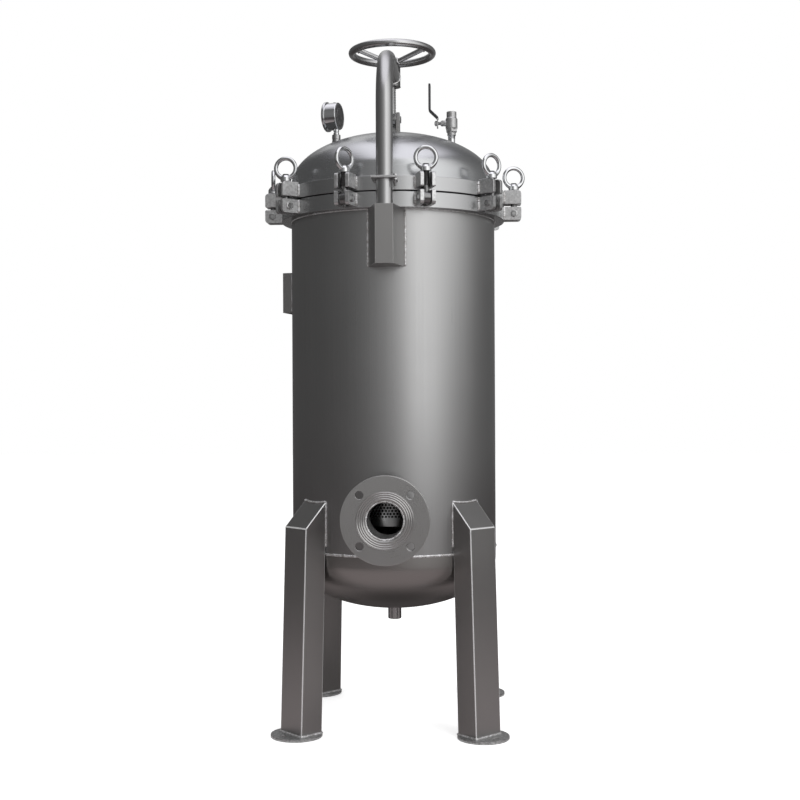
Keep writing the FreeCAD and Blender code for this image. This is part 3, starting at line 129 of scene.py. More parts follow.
class Tree:
    """A material's or a world's nodes, added through one method."""

    def __init__(self, name: str, world: bool = False) -> None:
        """Start a material or a world with only its output.

        Args:
            name: its name.
            world: whether it is a world.
        """
        self.owner = (bpy.data.worlds if world else bpy.data.materials).new(name)
        self.owner.use_nodes = True
        self.nodes, self.links = self.owner.node_tree.nodes, self.owner.node_tree.links
        self.nodes.clear()
        self.output = self.nodes.new("ShaderNodeOutputWorld" if world else "ShaderNodeOutputMaterial")

    def feed(self, socket: Any, value: Any) -> None:
        """Give an input socket a link, a number or a colour."""
        if isinstance(value, Value):
            self.links.new(value.socket, socket)
        else:
            socket.default_value = value

    def node(self, kind: str, settings: dict[str, Any], values: dict[Any, Any], out: Any = 0) -> Value:
        """Add any node.

        Args:
            kind: the node's type.
            settings: its own settings, set before its sockets.
            values: its inputs by name or number, each a Value, a number or a colour.
            out: name or number of the output wanted.

        Returns:
            The output as a Value.
        """
        made = self.nodes.new(kind)
        for name, setting in settings.items():
            setattr(made, name, setting)
        for key, value in values.items():
            self.feed(made.inputs[key], value)
        return Value(self, made.outputs[out])

    def maths(self, operation: str, first: Any, second: Any = None) -> Value:
        """One Math node on one or two values, each a Value or a number."""
        values = {0: first} if second is None else {0: first, 1: second}
        return self.node("ShaderNodeMath", {"operation": operation}, values)

    def point(self) -> Value:
        """The Object coordinates as a vector, in metres."""
        return self.node("ShaderNodeTexCoord", {}, {}, "Object")

    def place(self) -> tuple[Value, Value, Value]:
        """The three Object coordinates, in metres.

        Returns:
            x, y and z.
        """
        parts = self.nodes.new("ShaderNodeSeparateXYZ")
        self.links.new(self.point().socket, parts.inputs[0])
        return Value(self, parts.outputs[0]), Value(self, parts.outputs[1]), Value(self, parts.outputs[2])

    def vector(self, x: Any, y: Any, z: Any) -> Value:
        """Three values as one vector."""
        return self.node("ShaderNodeCombineXYZ", {}, {0: x, 1: y, 2: z})

    def noise(self, where: Value, scale: float, detail: float = 2.0, rough: float = 0.5) -> Value:
        """Soft noise between 0 and 1 at a vector."""
        values = {"Vector": where, "Scale": scale, "Detail": detail, "Roughness": rough}
        return self.node("ShaderNodeTexNoise", {"noise_dimensions": "3D"}, values, "Fac")

    def blend(self, share: Value, first: Any, second: Any) -> Value:
        """A colour between two others. A Mix node's colours are its inputs 6 and 7 and its output 2."""
        values = {"Factor": share, 6: first, 7: second}
        return self.node("ShaderNodeMix", {"data_type": "RGBA"}, values, 2)

    def bump(self, height: Value, strength: float, distance: float) -> Value:
        """A normal that follows a height."""
        values = {"Height": height, "Strength": strength, "Distance": distance}
        return self.node("ShaderNodeBump", {}, values)

    def show(self, shader: Value) -> None:
        """Link a shader to the output."""
        self.links.new(shader.socket, self.output.inputs["Surface"])

    def shade(self, values: dict[str, Any]) -> None:
        """Make the main shader and show it."""
        self.show(self.node("ShaderNodeBsdfPrincipled", {}, values))


def grey(value: float, warm: float = 0.0) -> tuple[float, float, float, float]:
    """A grey whose red is raised and blue lowered by a small share.

    Args:
        value: linear brightness.
        warm: share by which red and blue part.

    Returns:
        A colour with alpha.
    """
    return (value * (1 + warm), value, value * (1 - warm), 1.0)


@dataclass(frozen=True)
class Steel:
    """Stainless steel with its grain, soft clouds of shade and fine scratches."""

    name: str
    bright: float = 0.50
    rough: float = 0.30
    grain: Grain = Grain.SATIN
    streak: float = 0.05
    clouds: float = 0.08
    warm: float = 0.0
    scratch: float = 0.12
    centre: float = 0.0
    turned: float = 0.0
    mottle: float = 0.0
    metal: float = 1.0

    def direction(self, tree: Tree) -> Value:
        """Where the noise of the grain is read: far apart across its lines and close together along them.

        Args:
            tree: the material being made.

        Returns:
            Place, or angle, radius and height, each scaled for this grain.
        """
        x, y, z = tree.place()
        if self.grain is Grain.SATIN:
            return tree.vector(x * GRAIN, y * GRAIN, z * GRAIN)
        if self.grain is Grain.FACE:
            height = z - self.centre * MM
            radius = (x * x + height * height) ** 0.5
            return tree.vector(radius * 1500.0, y * 300.0, x.angle_with(height) * 1.2)
        radius = (x * x + y * y) ** 0.5
        angle = x.angle_with(y)
        if self.grain is Grain.ALONG:
            return tree.vector(angle * 130.0, z * 1.6, radius * 40.0)
        return tree.vector(angle * 0.9, z * GRAIN, radius * GRAIN)

    def build(self) -> bpy.types.Material:
        """Make the material.

        Returns:
            The finished material.
        """
        tree = Tree(self.name)
        lines = tree.noise(self.direction(tree), 1.0, 5.0, 0.62)
        point = tree.point()
        cloud = tree.noise(point, 5.0, 3.0, 0.55)
        fine = tree.noise(point, 420.0, 2.0)
        spots = tree.noise(point, 170.0, 4.0, 0.6)
        shade = (lines - 0.5) * self.streak * 4.0 + (cloud - 0.5) * self.clouds * 3.0
        shade = (shade + (spots - 0.5) * self.mottle * 4.0 + 0.5).clipped()
        dark = grey(self.bright * (0.84 - 0.3 * self.mottle), self.warm)
        light = grey(min(1.0, self.bright * (1.12 + 0.3 * self.mottle)), self.warm)
        rough = self.rough + (lines - 0.5) * self.streak * 2.0 + (cloud - 0.5) * 0.12
        height = lines * 0.6 + fine * 0.4
        tree.shade({
            "Base Color": tree.blend(shade, dark, light),
            "Metallic": self.metal,
            "Roughness": rough.clipped(),
            "Anisotropic": self.turned,
            "Normal": tree.bump(height, self.scratch, 0.0004),
        })
        return tree.owner


@dataclass(frozen=True)
class Bead:
    """Weld metal: bright ripples among darker patches with a faint straw tint."""

    name: str = "weld_metal"
    bright: float = 0.74
    rough: float = 0.30

    def build(self) -> bpy.types.Material:
        """Make the material."""
        tree = Tree(self.name)
        point = tree.point()
        patch = tree.noise(point, 120.0, 3.0)
        grit = tree.noise(point, 480.0, 2.0)
        share = ((patch - 0.5) * 2.2 + 0.55).clipped()
        straw = (self.bright * 0.50, self.bright * 0.48, self.bright * 0.45, 1.0)
        pale = (self.bright * 1.25, self.bright * 1.25, self.bright * 1.27, 1.0)
        tree.shade({
            "Base Color": tree.blend(share, straw, pale),
            "Metallic": 0.75,
            "Roughness": (self.rough + (grit - 0.5) * 0.3).clipped(),
            "Normal": tree.bump(grit, 0.5, 0.0006),
        })
        return tree.owner


@dataclass(frozen=True)
class Coated:
    """Rubber, paint, vinyl or plastic with a fine skin and rubbed patches."""

    name: str
    colour: tuple[float, float, float]
    rough: float = 0.5
    grain: float = 600.0
    relief: float = 0.15
    wear: float = 0.15
    sheen: float = 0.0

    def build(self) -> bpy.types.Material:
        """Make the material."""
        tree = Tree(self.name)
        point = tree.point()
        skin = tree.noise(point, self.grain, 3.0)
        rubbed = ((tree.noise(point, 40.0, 4.0) - 0.45) * 2.2).clipped()
        base = (*self.colour, 1.0)
        worn = (*(min(1.0, part * (1 + self.wear) + 0.02) for part in self.colour), 1.0)
        tree.shade({
            "Base Color": tree.blend(rubbed, base, worn),
            "Roughness": (self.rough + (rubbed - 0.5) * 0.14 + (skin - 0.5) * 0.1).clipped(),
            "Sheen Weight": self.sheen,
            "Normal": tree.bump(skin, self.relief, 0.0003),
        })
        return tree.owner


@dataclass(frozen=True)
class Glass:
    """Clear window glass with faint smears."""

    name: str = "window_glass"

    def build(self) -> bpy.types.Material:
        """Make the material."""
        tree = Tree(self.name)
        point = tree.point()
        smear = tree.noise(point, 60.0, 3.0)
        tree.shade({
            "Base Color": (0.93, 0.96, 0.97, 1.0),
            "Roughness": (smear * 0.08).clipped(),
            "Transmission Weight": 1.0,
            "IOR": 1.46,
            "Alpha": 0.35,
        })
        return tree.owner


@dataclass(frozen=True)
class Felt:
    """Needle felt: tangled pale fibres with a soft sheen."""

    name: str = "bag_felt"

    def build(self) -> bpy.types.Material:
        """Make the material."""
        tree = Tree(self.name)
        point = tree.point()
        fibre = tree.noise(point, 1400.0, 5.0, 0.7)
        tuft = tree.noise(point, 160.0, 3.0)
        tree.shade({
            "Base Color": tree.blend(tuft, (0.70, 0.68, 0.62, 1.0), (0.86, 0.85, 0.81, 1.0)),
            "Roughness": (0.85 + (fibre - 0.5) * 0.2).clipped(),
            "Sheen Weight": 0.35,
            "Normal": tree.bump(fibre * 0.7 + tuft * 0.3, 0.6, 0.0008),
        })
        return tree.owner


@dataclass(frozen=True)
class Perforated:
    """Thin steel sheet with round holes in staggered rows, painted black as shade rather than cut."""

    name: str
    circle: float
    low: float
    high: float
    pitch: float = 8.0
    hole: float = 2.7
    radius: float = 80.0

    def build(self) -> bpy.types.Material:
        """Make the material.

        The angle about the nearest basket's axis times the basket's radius gives the place along a row. Every
        second row is shifted by half a pitch. A point lies in a hole where its distance to the nearest hole's
        middle is less than the hole's radius, between the two plain bands. Nothing is cut there: the hole is
        painted black and rough, as painted shade for the dark seen through it.

        Returns:
            The finished material.
        """
        tree = Tree(self.name)
        x, y, z = tree.place()
        third = FULL / 3.0
        turn = x.angle_with(y * -1.0)
        station = tree.maths("ROUND", turn / third) * third
        sine = tree.maths("SINE", station)
        cosine = tree.maths("COSINE", station)
        from_x = x - sine * (self.circle * MM)
        from_y = y + cosine * (self.circle * MM)
        around_axis = from_x.angle_with(from_y) * (self.radius / self.pitch)
        spacing = self.pitch * 0.866
        rows = z / (spacing * MM)
        row = tree.maths("ROUND", rows)
        odd = tree.maths("PINGPONG", row, 1.0)
        along = around_axis + odd * 0.5
        near = tree.maths("ROUND", along)
        gap_a = (along - near) * self.pitch
        gap_b = (rows - row) * spacing
        distance = (gap_a * gap_a + gap_b * gap_b) ** 0.5
        solid = tree.maths("GREATER_THAN", distance, self.hole)
        under = tree.maths("LESS_THAN", z, self.low * MM)
        over = tree.maths("GREATER_THAN", z, self.high * MM)
        point = tree.point()
        cloud = tree.noise(point, 30.0, 3.0)
        # Where this is 0 the sheet is painted near black: painted shade in place of an open hole.
        steel = (solid + under + over).clipped()
        tree.shade({
            "Base Color": tree.blend(steel, grey(0.01), tree.blend(cloud, grey(0.50), grey(0.66))),
            "Metallic": steel,
            "Roughness": (cloud * 0.2 + 0.62 - steel * 0.36).clipped(),
            "Normal": tree.bump(steel, 0.5, 0.0008),
        })
        return tree.owner


SHELL_STEEL = Steel("shell_brushed", 0.48, 0.33, Grain.ALONG, streak=0.12, clouds=0.06, warm=0.002, turned=0.35)
DOME_STEEL = Steel("dome_spun", 0.56, 0.26, Grain.ROUND, streak=0.035, clouds=0.07, warm=-0.015, turned=0.45)
HEAD_STEEL = Steel("head_spun", 0.40, 0.33, Grain.ROUND, streak=0.03, clouds=0.08, warm=0.03, turned=0.35)
RING_STEEL = Steel("flange_turned", 0.50, 0.25, Grain.ROUND, streak=0.04, clouds=0.05, warm=-0.005, turned=0.5)
PLATE_STEEL = Steel("cheek_plate", 0.60, 0.34, streak=0.07, clouds=0.15, scratch=0.4, mottle=0.5,
                    metal=0.93)
FOOT_STEEL = Steel("foot_plate", 0.42, 0.40, streak=0.08, clouds=0.15, scratch=0.5, mottle=0.7,
                   metal=0.85)
LEG_STEEL = Steel("leg_satin", 0.39, 0.34, streak=0.04, clouds=0.12, warm=0.015, scratch=0.2,
                  metal=0.95)
# A paler, half-metal steel for rounded edges, so that they look bright from any side: a painted highlight.
EDGE_HIGHLIGHT_STEEL = Steel("painted_edge_highlight", 0.80, 0.30, streak=0.04, clouds=0.2, scratch=0.1, metal=0.5)
TUBE_STEEL = Steel("tube_satin", 0.50, 0.31, streak=0.03, clouds=0.07)
WHEEL_STEEL = Steel("wheel_bar", 0.56, 0.24, streak=0.0, clouds=0.05, scratch=0.0)
MIRROR_STEEL = Steel("polished", 0.74, 0.09, streak=0.02, clouds=0.05, warm=-0.01, scratch=0.03)
BOLT_STEEL = Steel("machined", 0.52, 0.24, streak=0.03, clouds=0.08, scratch=0.06)
# Darker, rougher steel than the case for the gauge's pressed back: painted shade.
BACK_SHADE_STEEL = Steel("stamped_back_painted_shade", 0.26, 0.30, streak=0.05, clouds=0.2, scratch=0.6, mottle=1.0)
STUD_STEEL = Steel("stud", 0.24, 0.27, streak=0.04, clouds=0.12, scratch=0.15)
CAST_STEEL = Steel("cast_fitting", 0.50, 0.34, streak=0.08, clouds=0.2, scratch=0.5, mottle=0.2,
                   metal=0.85)
WELD = Bead()
RUBBER = Coated("gasket_rubber", (0.025, 0.025, 0.027), 0.62, 900.0, 0.2, 0.2)
VINYL = Coated("lever_vinyl", (0.03, 0.03, 0.033), 0.42, 350.0, 0.25, 0.25)
DIAL_PAINT = Coated("dial_paint", (0.82, 0.82, 0.80), 0.55, 1200.0, 0.05, 0.05)
BLACK_PAINT = Coated("black_paint", (0.02, 0.02, 0.02), 0.45, 900.0, 0.08, 0.1)
FELT = Felt()
GLASS = Glass()


class Finishes:
    """Builds each finish once and hands it out."""

    made: dict[str, bpy.types.Material] = {}

    @classmethod
    def get(cls, finish: Any) -> bpy.types.Material:
        """The material of a finish.

        Args:
            finish: one of the finish dataclasses.

        Returns:
            Its material, made on first use.
        """
        if finish.name not in cls.made:
            cls.made[finish.name] = finish.build()
        return cls.made[finish.name]


def span(node: str) -> tuple[Points, Points]:
    """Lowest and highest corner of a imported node, in millimetres."""
    low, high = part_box(node)
    return np.array(low) / MM, np.array(high) / MM


def spun(points: Points, azimuth: float) -> Points:
    """Points turned about the vessel's axis by an azimuth in degrees."""
    angle = math.radians(azimuth)
    turn = np.array([[math.cos(angle), -math.sin(angle), 0.0], [math.sin(angle), math.cos(angle), 0.0],
                     [0.0, 0.0, 1.0]])
    return points @ turn.T


def laid(points: Points, x: Sequence[float], y: Sequence[float], z: Sequence[float],
         origin: Sequence[float] = (0.0, 0.0, 0.0)) -> Points:
    """Points of a local frame put into the part's frame.

    Args:
        points: any array whose last axis holds the local x, y and z.
        x: where the local x axis points.
        y: where the local y axis points.
        z: where the local z axis points.
        origin: where the local origin lies.

    Returns:
        The points as x times the first axis plus y times the second plus z times the third, plus the origin.
    """
    return points @ np.array([x, y, z], float) + np.array(origin, float)


def crosswise(points: Points, spot: Sequence[float], side: float = 1.0) -> Points:
    """Points round a z axis laid along x from a spot, to the right, or to the left where the side is -1."""
    return laid(points, (0, 1, 0), (0, 0, side), (side, 0, 0), spot)


def fronted(points: Points, spot: Sequence[float] = (0.0, 0.0, 0.0)) -> Points:
    """Points round a z axis laid towards the front from a spot, with their y upwards."""
    return laid(points, (1, 0, 0), UP, (0, -1, 0), spot)


def fan(steps: int, closed: bool = False) -> Points:
    """Angles once round a circle. A closed fan ends with the full turn."""
    return np.linspace(0.0, FULL, steps + closed, endpoint=closed)


def polar(radius: Any, angle: Any, height: Any) -> Points:
    """Points at (radius times cosine, radius times sine, height), spread over each other as numpy does."""
    return np.stack(np.broadcast_arrays(radius * np.cos(angle), radius * np.sin(angle), height), axis=-1)


def upright(x: float, y: float, low: float, high: float, count: int) -> Points:
    """A straight path upwards at a place."""
    return np.column_stack([np.full(count, x), np.full(count, y), np.linspace(low, high, count)])


def arc_at(before: Points, corner: Points, after: Points, radius: float, steps: int) -> tuple[Points, float]:
    """The arc that rounds a corner between two points.

    Args:
        before: the point before the corner, in two or three dimensions.
        corner: the corner.
        after: the point after it.
        radius: the arc's radius.
        steps: pieces in the arc.

    Returns:
        The arc's points, and how far from the corner it starts: the radius over the tangent of half the
        angle, or just under half of the shorter side where that is less.
    """
    back, ahead = before - corner, after - corner
    reach = min(np.linalg.norm(back), np.linalg.norm(ahead))
    back, ahead = back / np.linalg.norm(back), ahead / np.linalg.norm(ahead)
    opening = math.acos(float(np.clip(back @ ahead, -1.0, 1.0)))
    offset = min(radius / math.tan(opening / 2), reach * 0.48)
    radius = offset * math.tan(opening / 2)
    middle = corner + (back + ahead) / np.linalg.norm(back + ahead) * radius / math.sin(opening / 2)
    start, end = corner + back * offset - middle, corner + ahead * offset - middle
    share = np.linspace(0.0, 1.0, steps + 1)[:, None]
    sweep = math.pi - opening
    arc = (np.sin((1 - share) * sweep) * start + np.sin(share * sweep) * end) / math.sin(sweep)
    return middle + arc, offset


def rounded(corners: Sequence[Sequence[float]], steps: int = 4) -> Points:
    """A closed outline with rounded corners.

    Each corner is (a, b) or (a, b, radius). A support point stands just outside each end of an arc, so that
    flat sides shade flat.

    Args:
        corners: the corners in order.
        steps: pieces in each arc.

    Returns:
        The outline's points, two numbers each.
    """
    flat = np.array([corner[:2] for corner in corners], float)
    line: list[Points] = []
    for i, corner in enumerate(corners):
        before, after = flat[i - 1], flat[(i + 1) % len(flat)]
        if len(corner) < 3:
            line.append(flat[i][None])
            continue
        arc, offset = arc_at(before, flat[i], after, corner[2], steps)
        back, ahead = before - flat[i], after - flat[i]
        line.append((flat[i] + back / np.linalg.norm(back) * offset * 1.25)[None])
        line.append(arc)
        line.append((flat[i] + ahead / np.linalg.norm(ahead) * offset * 1.25)[None])
    return np.concatenate(line)


def bent(corners: Sequence[Sequence[float]], radii: Sequence[float], steps: int = 10) -> Points:
    """An open path with rounded corners.

    Args:
        corners: points in three dimensions, both ends among them.
        radii: one radius for each corner between the ends.
        steps: pieces in each arc.

    Returns:
        The path's points.
    """
    spots = np.array(corners, float)
    line = [spots[:1]]
    for i, radius in enumerate(radii):
        line.append(arc_at(spots[i], spots[i + 1], spots[i + 2], radius, steps)[0])
    line.append(spots[-1:])
    return np.concatenate(line)


def turned(profile: Points, steps: int = 96) -> Points:
    """A profile of (radius, height) carried round the z axis.

    A point at radius r and height h becomes (r cos t, r sin t, h), with t going once round.

    Args:
        profile: the profile's points.
        steps: pieces in the full circle.

    Returns:
        A grid whose first axis goes round and whose second follows the profile.
    """
    return polar(profile[None, :, 0], fan(steps)[:, None], profile[None, :, 1])


def carried(path: Points, section: Points, hint: Sequence[float], size: Points | None = None) -> Points:
    """A section carried along a path.

    At each point the section's first number goes along the cross product of the path's direction and the
    hint, its second along the direction crossed with that, and both are scaled by the size there.

    Args:
        path: points along the path.
        section: closed outline, two numbers each.
        hint: any direction never parallel to the path.
        size: one factor for each path point.

    Returns:
        A grid whose first axis follows the path and whose second goes round the section.
    """
    ahead = np.gradient(path, axis=0)
    if np.allclose(path[0], path[-1]):
        ahead[0] = ahead[-1] = path[1] - path[-2]
    ahead = ahead / np.linalg.norm(ahead, axis=1, keepdims=True)
    side = np.cross(ahead, np.array(hint, float))
    side = side / np.linalg.norm(side, axis=1, keepdims=True)
    over = np.cross(side, ahead)
    factor = np.ones(len(path)) if size is None else size
    flat = section[None] * factor[:, None, None]
    return path[:, None] + side[:, None] * flat[..., :1] + over[:, None] * flat[..., 1:]


def circle(radius: float, steps: int = 24) -> Points:
    """A closed circle as an outline."""
    return polar(radius, fan(steps), 0.0)[:, :2]


def around(radius: float, height: float, steps: int = 720) -> Points:
    """A level circle about the vessel's axis as a closed path."""
    return polar(radius, fan(steps, True), height)


def hexed(flat: float, low: float, high: float, bore: float = 0.0, ends: str = "both") -> Points:
    """A hexagon bar about the z axis with its corners turned off.

    The radius at an angle is the half width over the cosine of the angle to the nearest flat. At a turned end
    it starts just under the half width and reaches that radius over a slope of 30 degrees.

    Args:
        flat: half the width across flats.
        low: lower end.
        high: upper end.
        bore: radius of the hole through it.
        ends: which ends are turned: "both", "high" or "low".

    Returns:
        A closed grid.
    """
    angle, start, slope = fan(72), flat * 0.985, 0.577
    radius = flat / np.cos((angle + math.pi / 6) % (math.pi / 3) - math.pi / 6)
    drop = (radius - start) * slope
    first, rise = (radius, 0.0 * drop) if ends == "high" else (0.0 * angle + start, drop)
    last, fall = (radius, 0.0 * drop) if ends == "low" else (0.0 * angle + start, drop)
    hole, ground, roof = 0.0 * angle + bore, 0.0 * angle + low, 0.0 * angle + high
    across = np.stack([hole, first, radius, radius, last, hole], axis=1)
    height = np.stack([ground, ground, ground + rise, roof - fall, roof, roof], axis=1)
    return polar(across, angle[:, None], height)


def threaded(radius: float, low: float, high: float, pitch: float, depth: float, crest: float = 0.12,
             tip: float = 1.5, steps: int = 36) -> Points:
    """A threaded rod about the z axis.

    The height over the pitch less the angle over a full turn gives the place within one thread. The radius
    there is the outer one less the depth times a triangle wave cut flat at crest and root. Near the top the
    radius is held below a cone.

    Args:
        radius: outer radius.
        low: lower end.
        high: upper end.
        pitch: distance between threads.
        depth: depth of the thread.
        crest: share of the wave that is cut flat at each side.
        tip: height of the cone.
        steps: pieces in a circle.

    Returns:
        A grid closed at its ends on the axis.
    """
    angle = fan(steps)[:, None]
    height = np.linspace(low, high, max(3, int((high - low) / pitch * 6)))[None]
    wave = np.abs(((height / pitch - angle / FULL) % 1.0) * 2.0 - 1.0)
    reach = radius - depth * np.clip((wave - crest) / (1.0 - 2.0 * crest), 0.0, 1.0)
    reach = np.minimum(reach, radius - np.clip(height - (high - tip), 0.0, None) * 0.9)
    reach = np.concatenate([np.zeros((steps, 1)), reach, np.zeros((steps, 1))], axis=1)
    return polar(reach, angle, np.concatenate([height[:, :1], height, height[:, -1:]], axis=1))


def box_section(half_a: float, half_b: float, radius: float, steps: int = 3) -> Points:
    """A rectangle with rounded corners as a closed outline."""
    return rounded([(half_a, -half_b, radius), (half_a, half_b, radius), (-half_a, half_b, radius),
                    (-half_a, -half_b, radius)], steps)


def dome_height(x: Points, y: Points, base: float = DOME_BASE, across: float = SHELL,
                deep: float = DOME_DEEP) -> Points:
    """Height of the lid's dome over a point.

    It is the base plus the depth times the root of one less the squared share of the radius.
    """
    return base + deep * np.sqrt(1.0 - (x ** 2 + y ** 2) / across ** 2)


def dome_ring(x: float, radius: float) -> Points:
    """A closed path on the dome round an upright bar of a radius that stands at x."""
    ring = polar(radius + 0.8, fan(90, True), 0.0) + np.array([x, 0.0, 0.0])
    ring[:, 2] = dome_height(ring[:, 0], ring[:, 1]) + 0.8
    return ring


class Skin:
    """Quads gathered from grids, which become one mesh."""

    def __init__(self) -> None:
        """Start with nothing."""
        self.points: list[Points] = []
        self.quads: list[Points] = []
        self.count = 0

    def grid(self, points: Points, across: bool = True, along: bool = True) -> "Skin":
        """Add a grid of points as quads.

        Args:
            points: an array of rows by columns by three.
            across: whether the last row joins the first.
            along: whether the last column joins the first.

        Returns:
            This skin.
        """
        rows, columns = points.shape[:2]
        number = np.arange(rows * columns).reshape(rows, columns) + self.count
        down = np.roll(number, -1, axis=0) if across else number[1:]
        base = number if across else number[:-1]
        if along:
            right_base, right_down = np.roll(base, -1, axis=1), np.roll(down, -1, axis=1)
            left_base, left_down = base, down
        else:
            left_base, right_base = base[:, :-1], base[:, 1:]
            left_down, right_down = down[:, :-1], down[:, 1:]
        quads = np.stack([left_base, right_base, right_down, left_down], axis=-1)
        self.points.append(points.reshape(-1, 3))
        self.quads.append(quads.reshape(-1, 4))
        self.count += rows * columns
        return self

    def tube(self, points: Points) -> "Skin":
        """Add an open tube of points and close its two ends with a fan about each end's middle.

        Args:
            points: an array of rows by columns by three, closed round its columns.

        Returns:
            This skin.
        """
        first = np.repeat(points[:1].mean(axis=1, keepdims=True), points.shape[1], axis=1)
        last = np.repeat(points[-1:].mean(axis=1, keepdims=True), points.shape[1], axis=1)
        return self.grid(np.concatenate([first, points, last]), across=False)

    def rod(self, points: Points) -> "Skin":
        """Add a grid that closes on the axis at both ends of its rows.

        Args:
            points: an array of angles by profile points by three.

        Returns:
            This skin.
        """
        return self.grid(points, along=False)

    def patches(self, points: Points) -> "Skin":
        """Add separate quads, an array of quads by four corners by three."""
        quads = np.arange(points.shape[0] * 4).reshape(-1, 4) + self.count
        self.points.append(points.reshape(-1, 3))
        self.quads.append(quads)
        self.count += quads.size
        return self

    def spun(self, azimuths: Sequence[float]) -> "Skin":
        """Repeat everything added so far at each azimuth about the vessel's axis."""
        points, quads, count = np.concatenate(self.points), np.concatenate(self.quads), self.count
        self.points = [spun(points, azimuth) for azimuth in azimuths]
        self.quads = [quads + count * number for number in range(len(azimuths))]
        self.count = count * len(azimuths)
        return self

    def add(self, other: "Skin") -> "Skin":
        """Add everything another skin holds."""
        self.points += other.points
        self.quads += [quads + self.count for quads in other.quads]
        self.count += other.count
        return self

    def moved(self, offset: Points) -> "Skin":
        """Shift everything added so far."""
        self.points = [points + offset for points in self.points]
        return self

    def mesh(self, name: str, sharp: float = CREASE) -> bpy.types.Mesh:
        """Turn the quads into a closed, smooth mesh with sharp creases.

        Args:
            name: the mesh's name.
            sharp: edges that turn by more than this many degrees stay sharp.

        Returns:
            The mesh, in metres.
        """
        points = np.concatenate(self.points) * MM
        quads = np.concatenate(self.quads)
        mesh = bpy.data.meshes.new(name)
        mesh.vertices.add(len(points))
        mesh.vertices.foreach_set("co", points.ravel())
        mesh.loops.add(quads.size)
        mesh.loops.foreach_set("vertex_index", quads.ravel())
        mesh.polygons.add(len(quads))
        mesh.polygons.foreach_set("loop_start", np.arange(0, quads.size, 4))
        mesh.update(calc_edges=True)
        settle(mesh, sharp)
        return mesh


def linked(name: str, data: Any) -> bpy.types.Object:
    """A new object of some data, put into the scene."""
    made = bpy.data.objects.new(name, data)
    bpy.context.scene.collection.objects.link(made)
    return made


def settle(mesh: bpy.types.Mesh, sharp: float = CREASE) -> None:
    """Merge a mesh's doubles, turn its faces outwards and shade it smooth between its creases."""
    work = bmesh.new()
    work.from_mesh(mesh)
    bmesh.ops.remove_doubles(work, verts=work.verts, dist=1e-7)
    bmesh.ops.dissolve_degenerate(work, dist=1e-8, edges=work.edges)
    bmesh.ops.recalc_face_normals(work, faces=work.faces)
    work.to_mesh(mesh)
    work.free()
    mesh.polygons.foreach_set("use_smooth", np.ones(len(mesh.polygons), bool))
    mesh.set_sharp_from_angle(angle=math.radians(sharp))
    mesh.update()


def dress(form: Skin | bpy.types.Mesh, name: str, body: str, finish: Any,
          nodes: Sequence[str] = ()) -> bpy.types.Object:
    """Make an object of a skin or a mesh, give it its finish and tie it to its body.

    Args:
        form: the skin, or the finished mesh, in place.
        name: the piece's name.
        body: the body that it rides on.
        finish: its finish.
        nodes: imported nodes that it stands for.

    Returns:
        The object.
    """
    mesh = form.mesh(name) if isinstance(form, Skin) else form
    piece = linked(name, mesh)
    mesh.materials.clear()
    mesh.materials.append(Finishes.get(finish))
    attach(piece, body)
    for node in nodes:
        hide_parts(node)
    LOG.info("%s: %d faces", name, len(mesh.polygons))
    return piece


def evaluated(piece: bpy.types.Object) -> bpy.types.Mesh:
    """The mesh of an object with its modifiers applied."""
    bpy.context.view_layer.update()
    graph = bpy.context.evaluated_depsgraph_get()
    return bpy.data.meshes.new_from_object(piece.evaluated_get(graph))


def drilled(mesh: bpy.types.Mesh, cutters: Sequence[Points]) -> bpy.types.Mesh:
    """A mesh with round holes through it.

    Args:
        mesh: the blank.
        cutters: closed tubes, each a grid for Skin.tube, in millimetres.

    Returns:
        The bored mesh.
    """
    tools = Skin()
    for cutter in cutters:
        tools.tube(cutter)
    blank, tool = linked("blank", mesh), linked("drill", tools.mesh("drill"))
    cut = blank.modifiers.new("holes", "BOOLEAN")
    cut.operation = "DIFFERENCE"
    cut.solver = "EXACT"
    cut.object = tool
    result = evaluated(blank)
    for item in (blank, tool):
        bpy.data.objects.remove(item)
    settle(result)
    return result


def softened(node: str, body: str, finish: Any, width: float, steps: int = 3,
             ground: Any = None) -> bpy.types.Object:
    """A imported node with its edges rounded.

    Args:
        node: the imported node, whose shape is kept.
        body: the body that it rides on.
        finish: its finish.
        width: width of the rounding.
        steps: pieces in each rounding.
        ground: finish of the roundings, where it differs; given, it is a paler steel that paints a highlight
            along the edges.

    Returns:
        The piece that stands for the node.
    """
    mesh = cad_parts[node].data.copy()
    work = bmesh.new()
    work.from_mesh(mesh)
    bmesh.ops.remove_doubles(work, verts=work.verts, dist=1e-6)
    bmesh.ops.dissolve_limit(work, angle_limit=math.radians(0.6), verts=work.verts, edges=work.edges)
    work.to_mesh(mesh)
    work.free()
    mesh.polygons.foreach_set("use_smooth", np.ones(len(mesh.polygons), bool))
    piece = dress(mesh, node + "_skin", body, finish, (node,))
    edge = piece.modifiers.new("rounding", "BEVEL")
    edge.width = width * MM
    edge.segments = steps
    edge.limit_method = "ANGLE"
    edge.angle_limit = math.radians(40)
    flat = piece.modifiers.new("flats", "WEIGHTED_NORMAL")
    flat.weight = 100
    # A second finish on the roundings paints a highlight along the edges.
    if ground:
        mesh.materials.append(Finishes.get(ground))
        edge.material = 1
    return piece


def travelled(path: Points) -> Points:
    """The distance travelled along a path up to each of its points."""
    return np.concatenate([[0.0], np.cumsum(np.linalg.norm(np.diff(path, axis=0), axis=1))])


def evenly(path: Points, count: int) -> Points:
    """A number of points spread evenly along a path."""
    length = travelled(path)
    even = np.linspace(0.0, length[-1], count)
    return np.stack([np.interp(even, length, path[:, axis]) for axis in range(3)], axis=1)


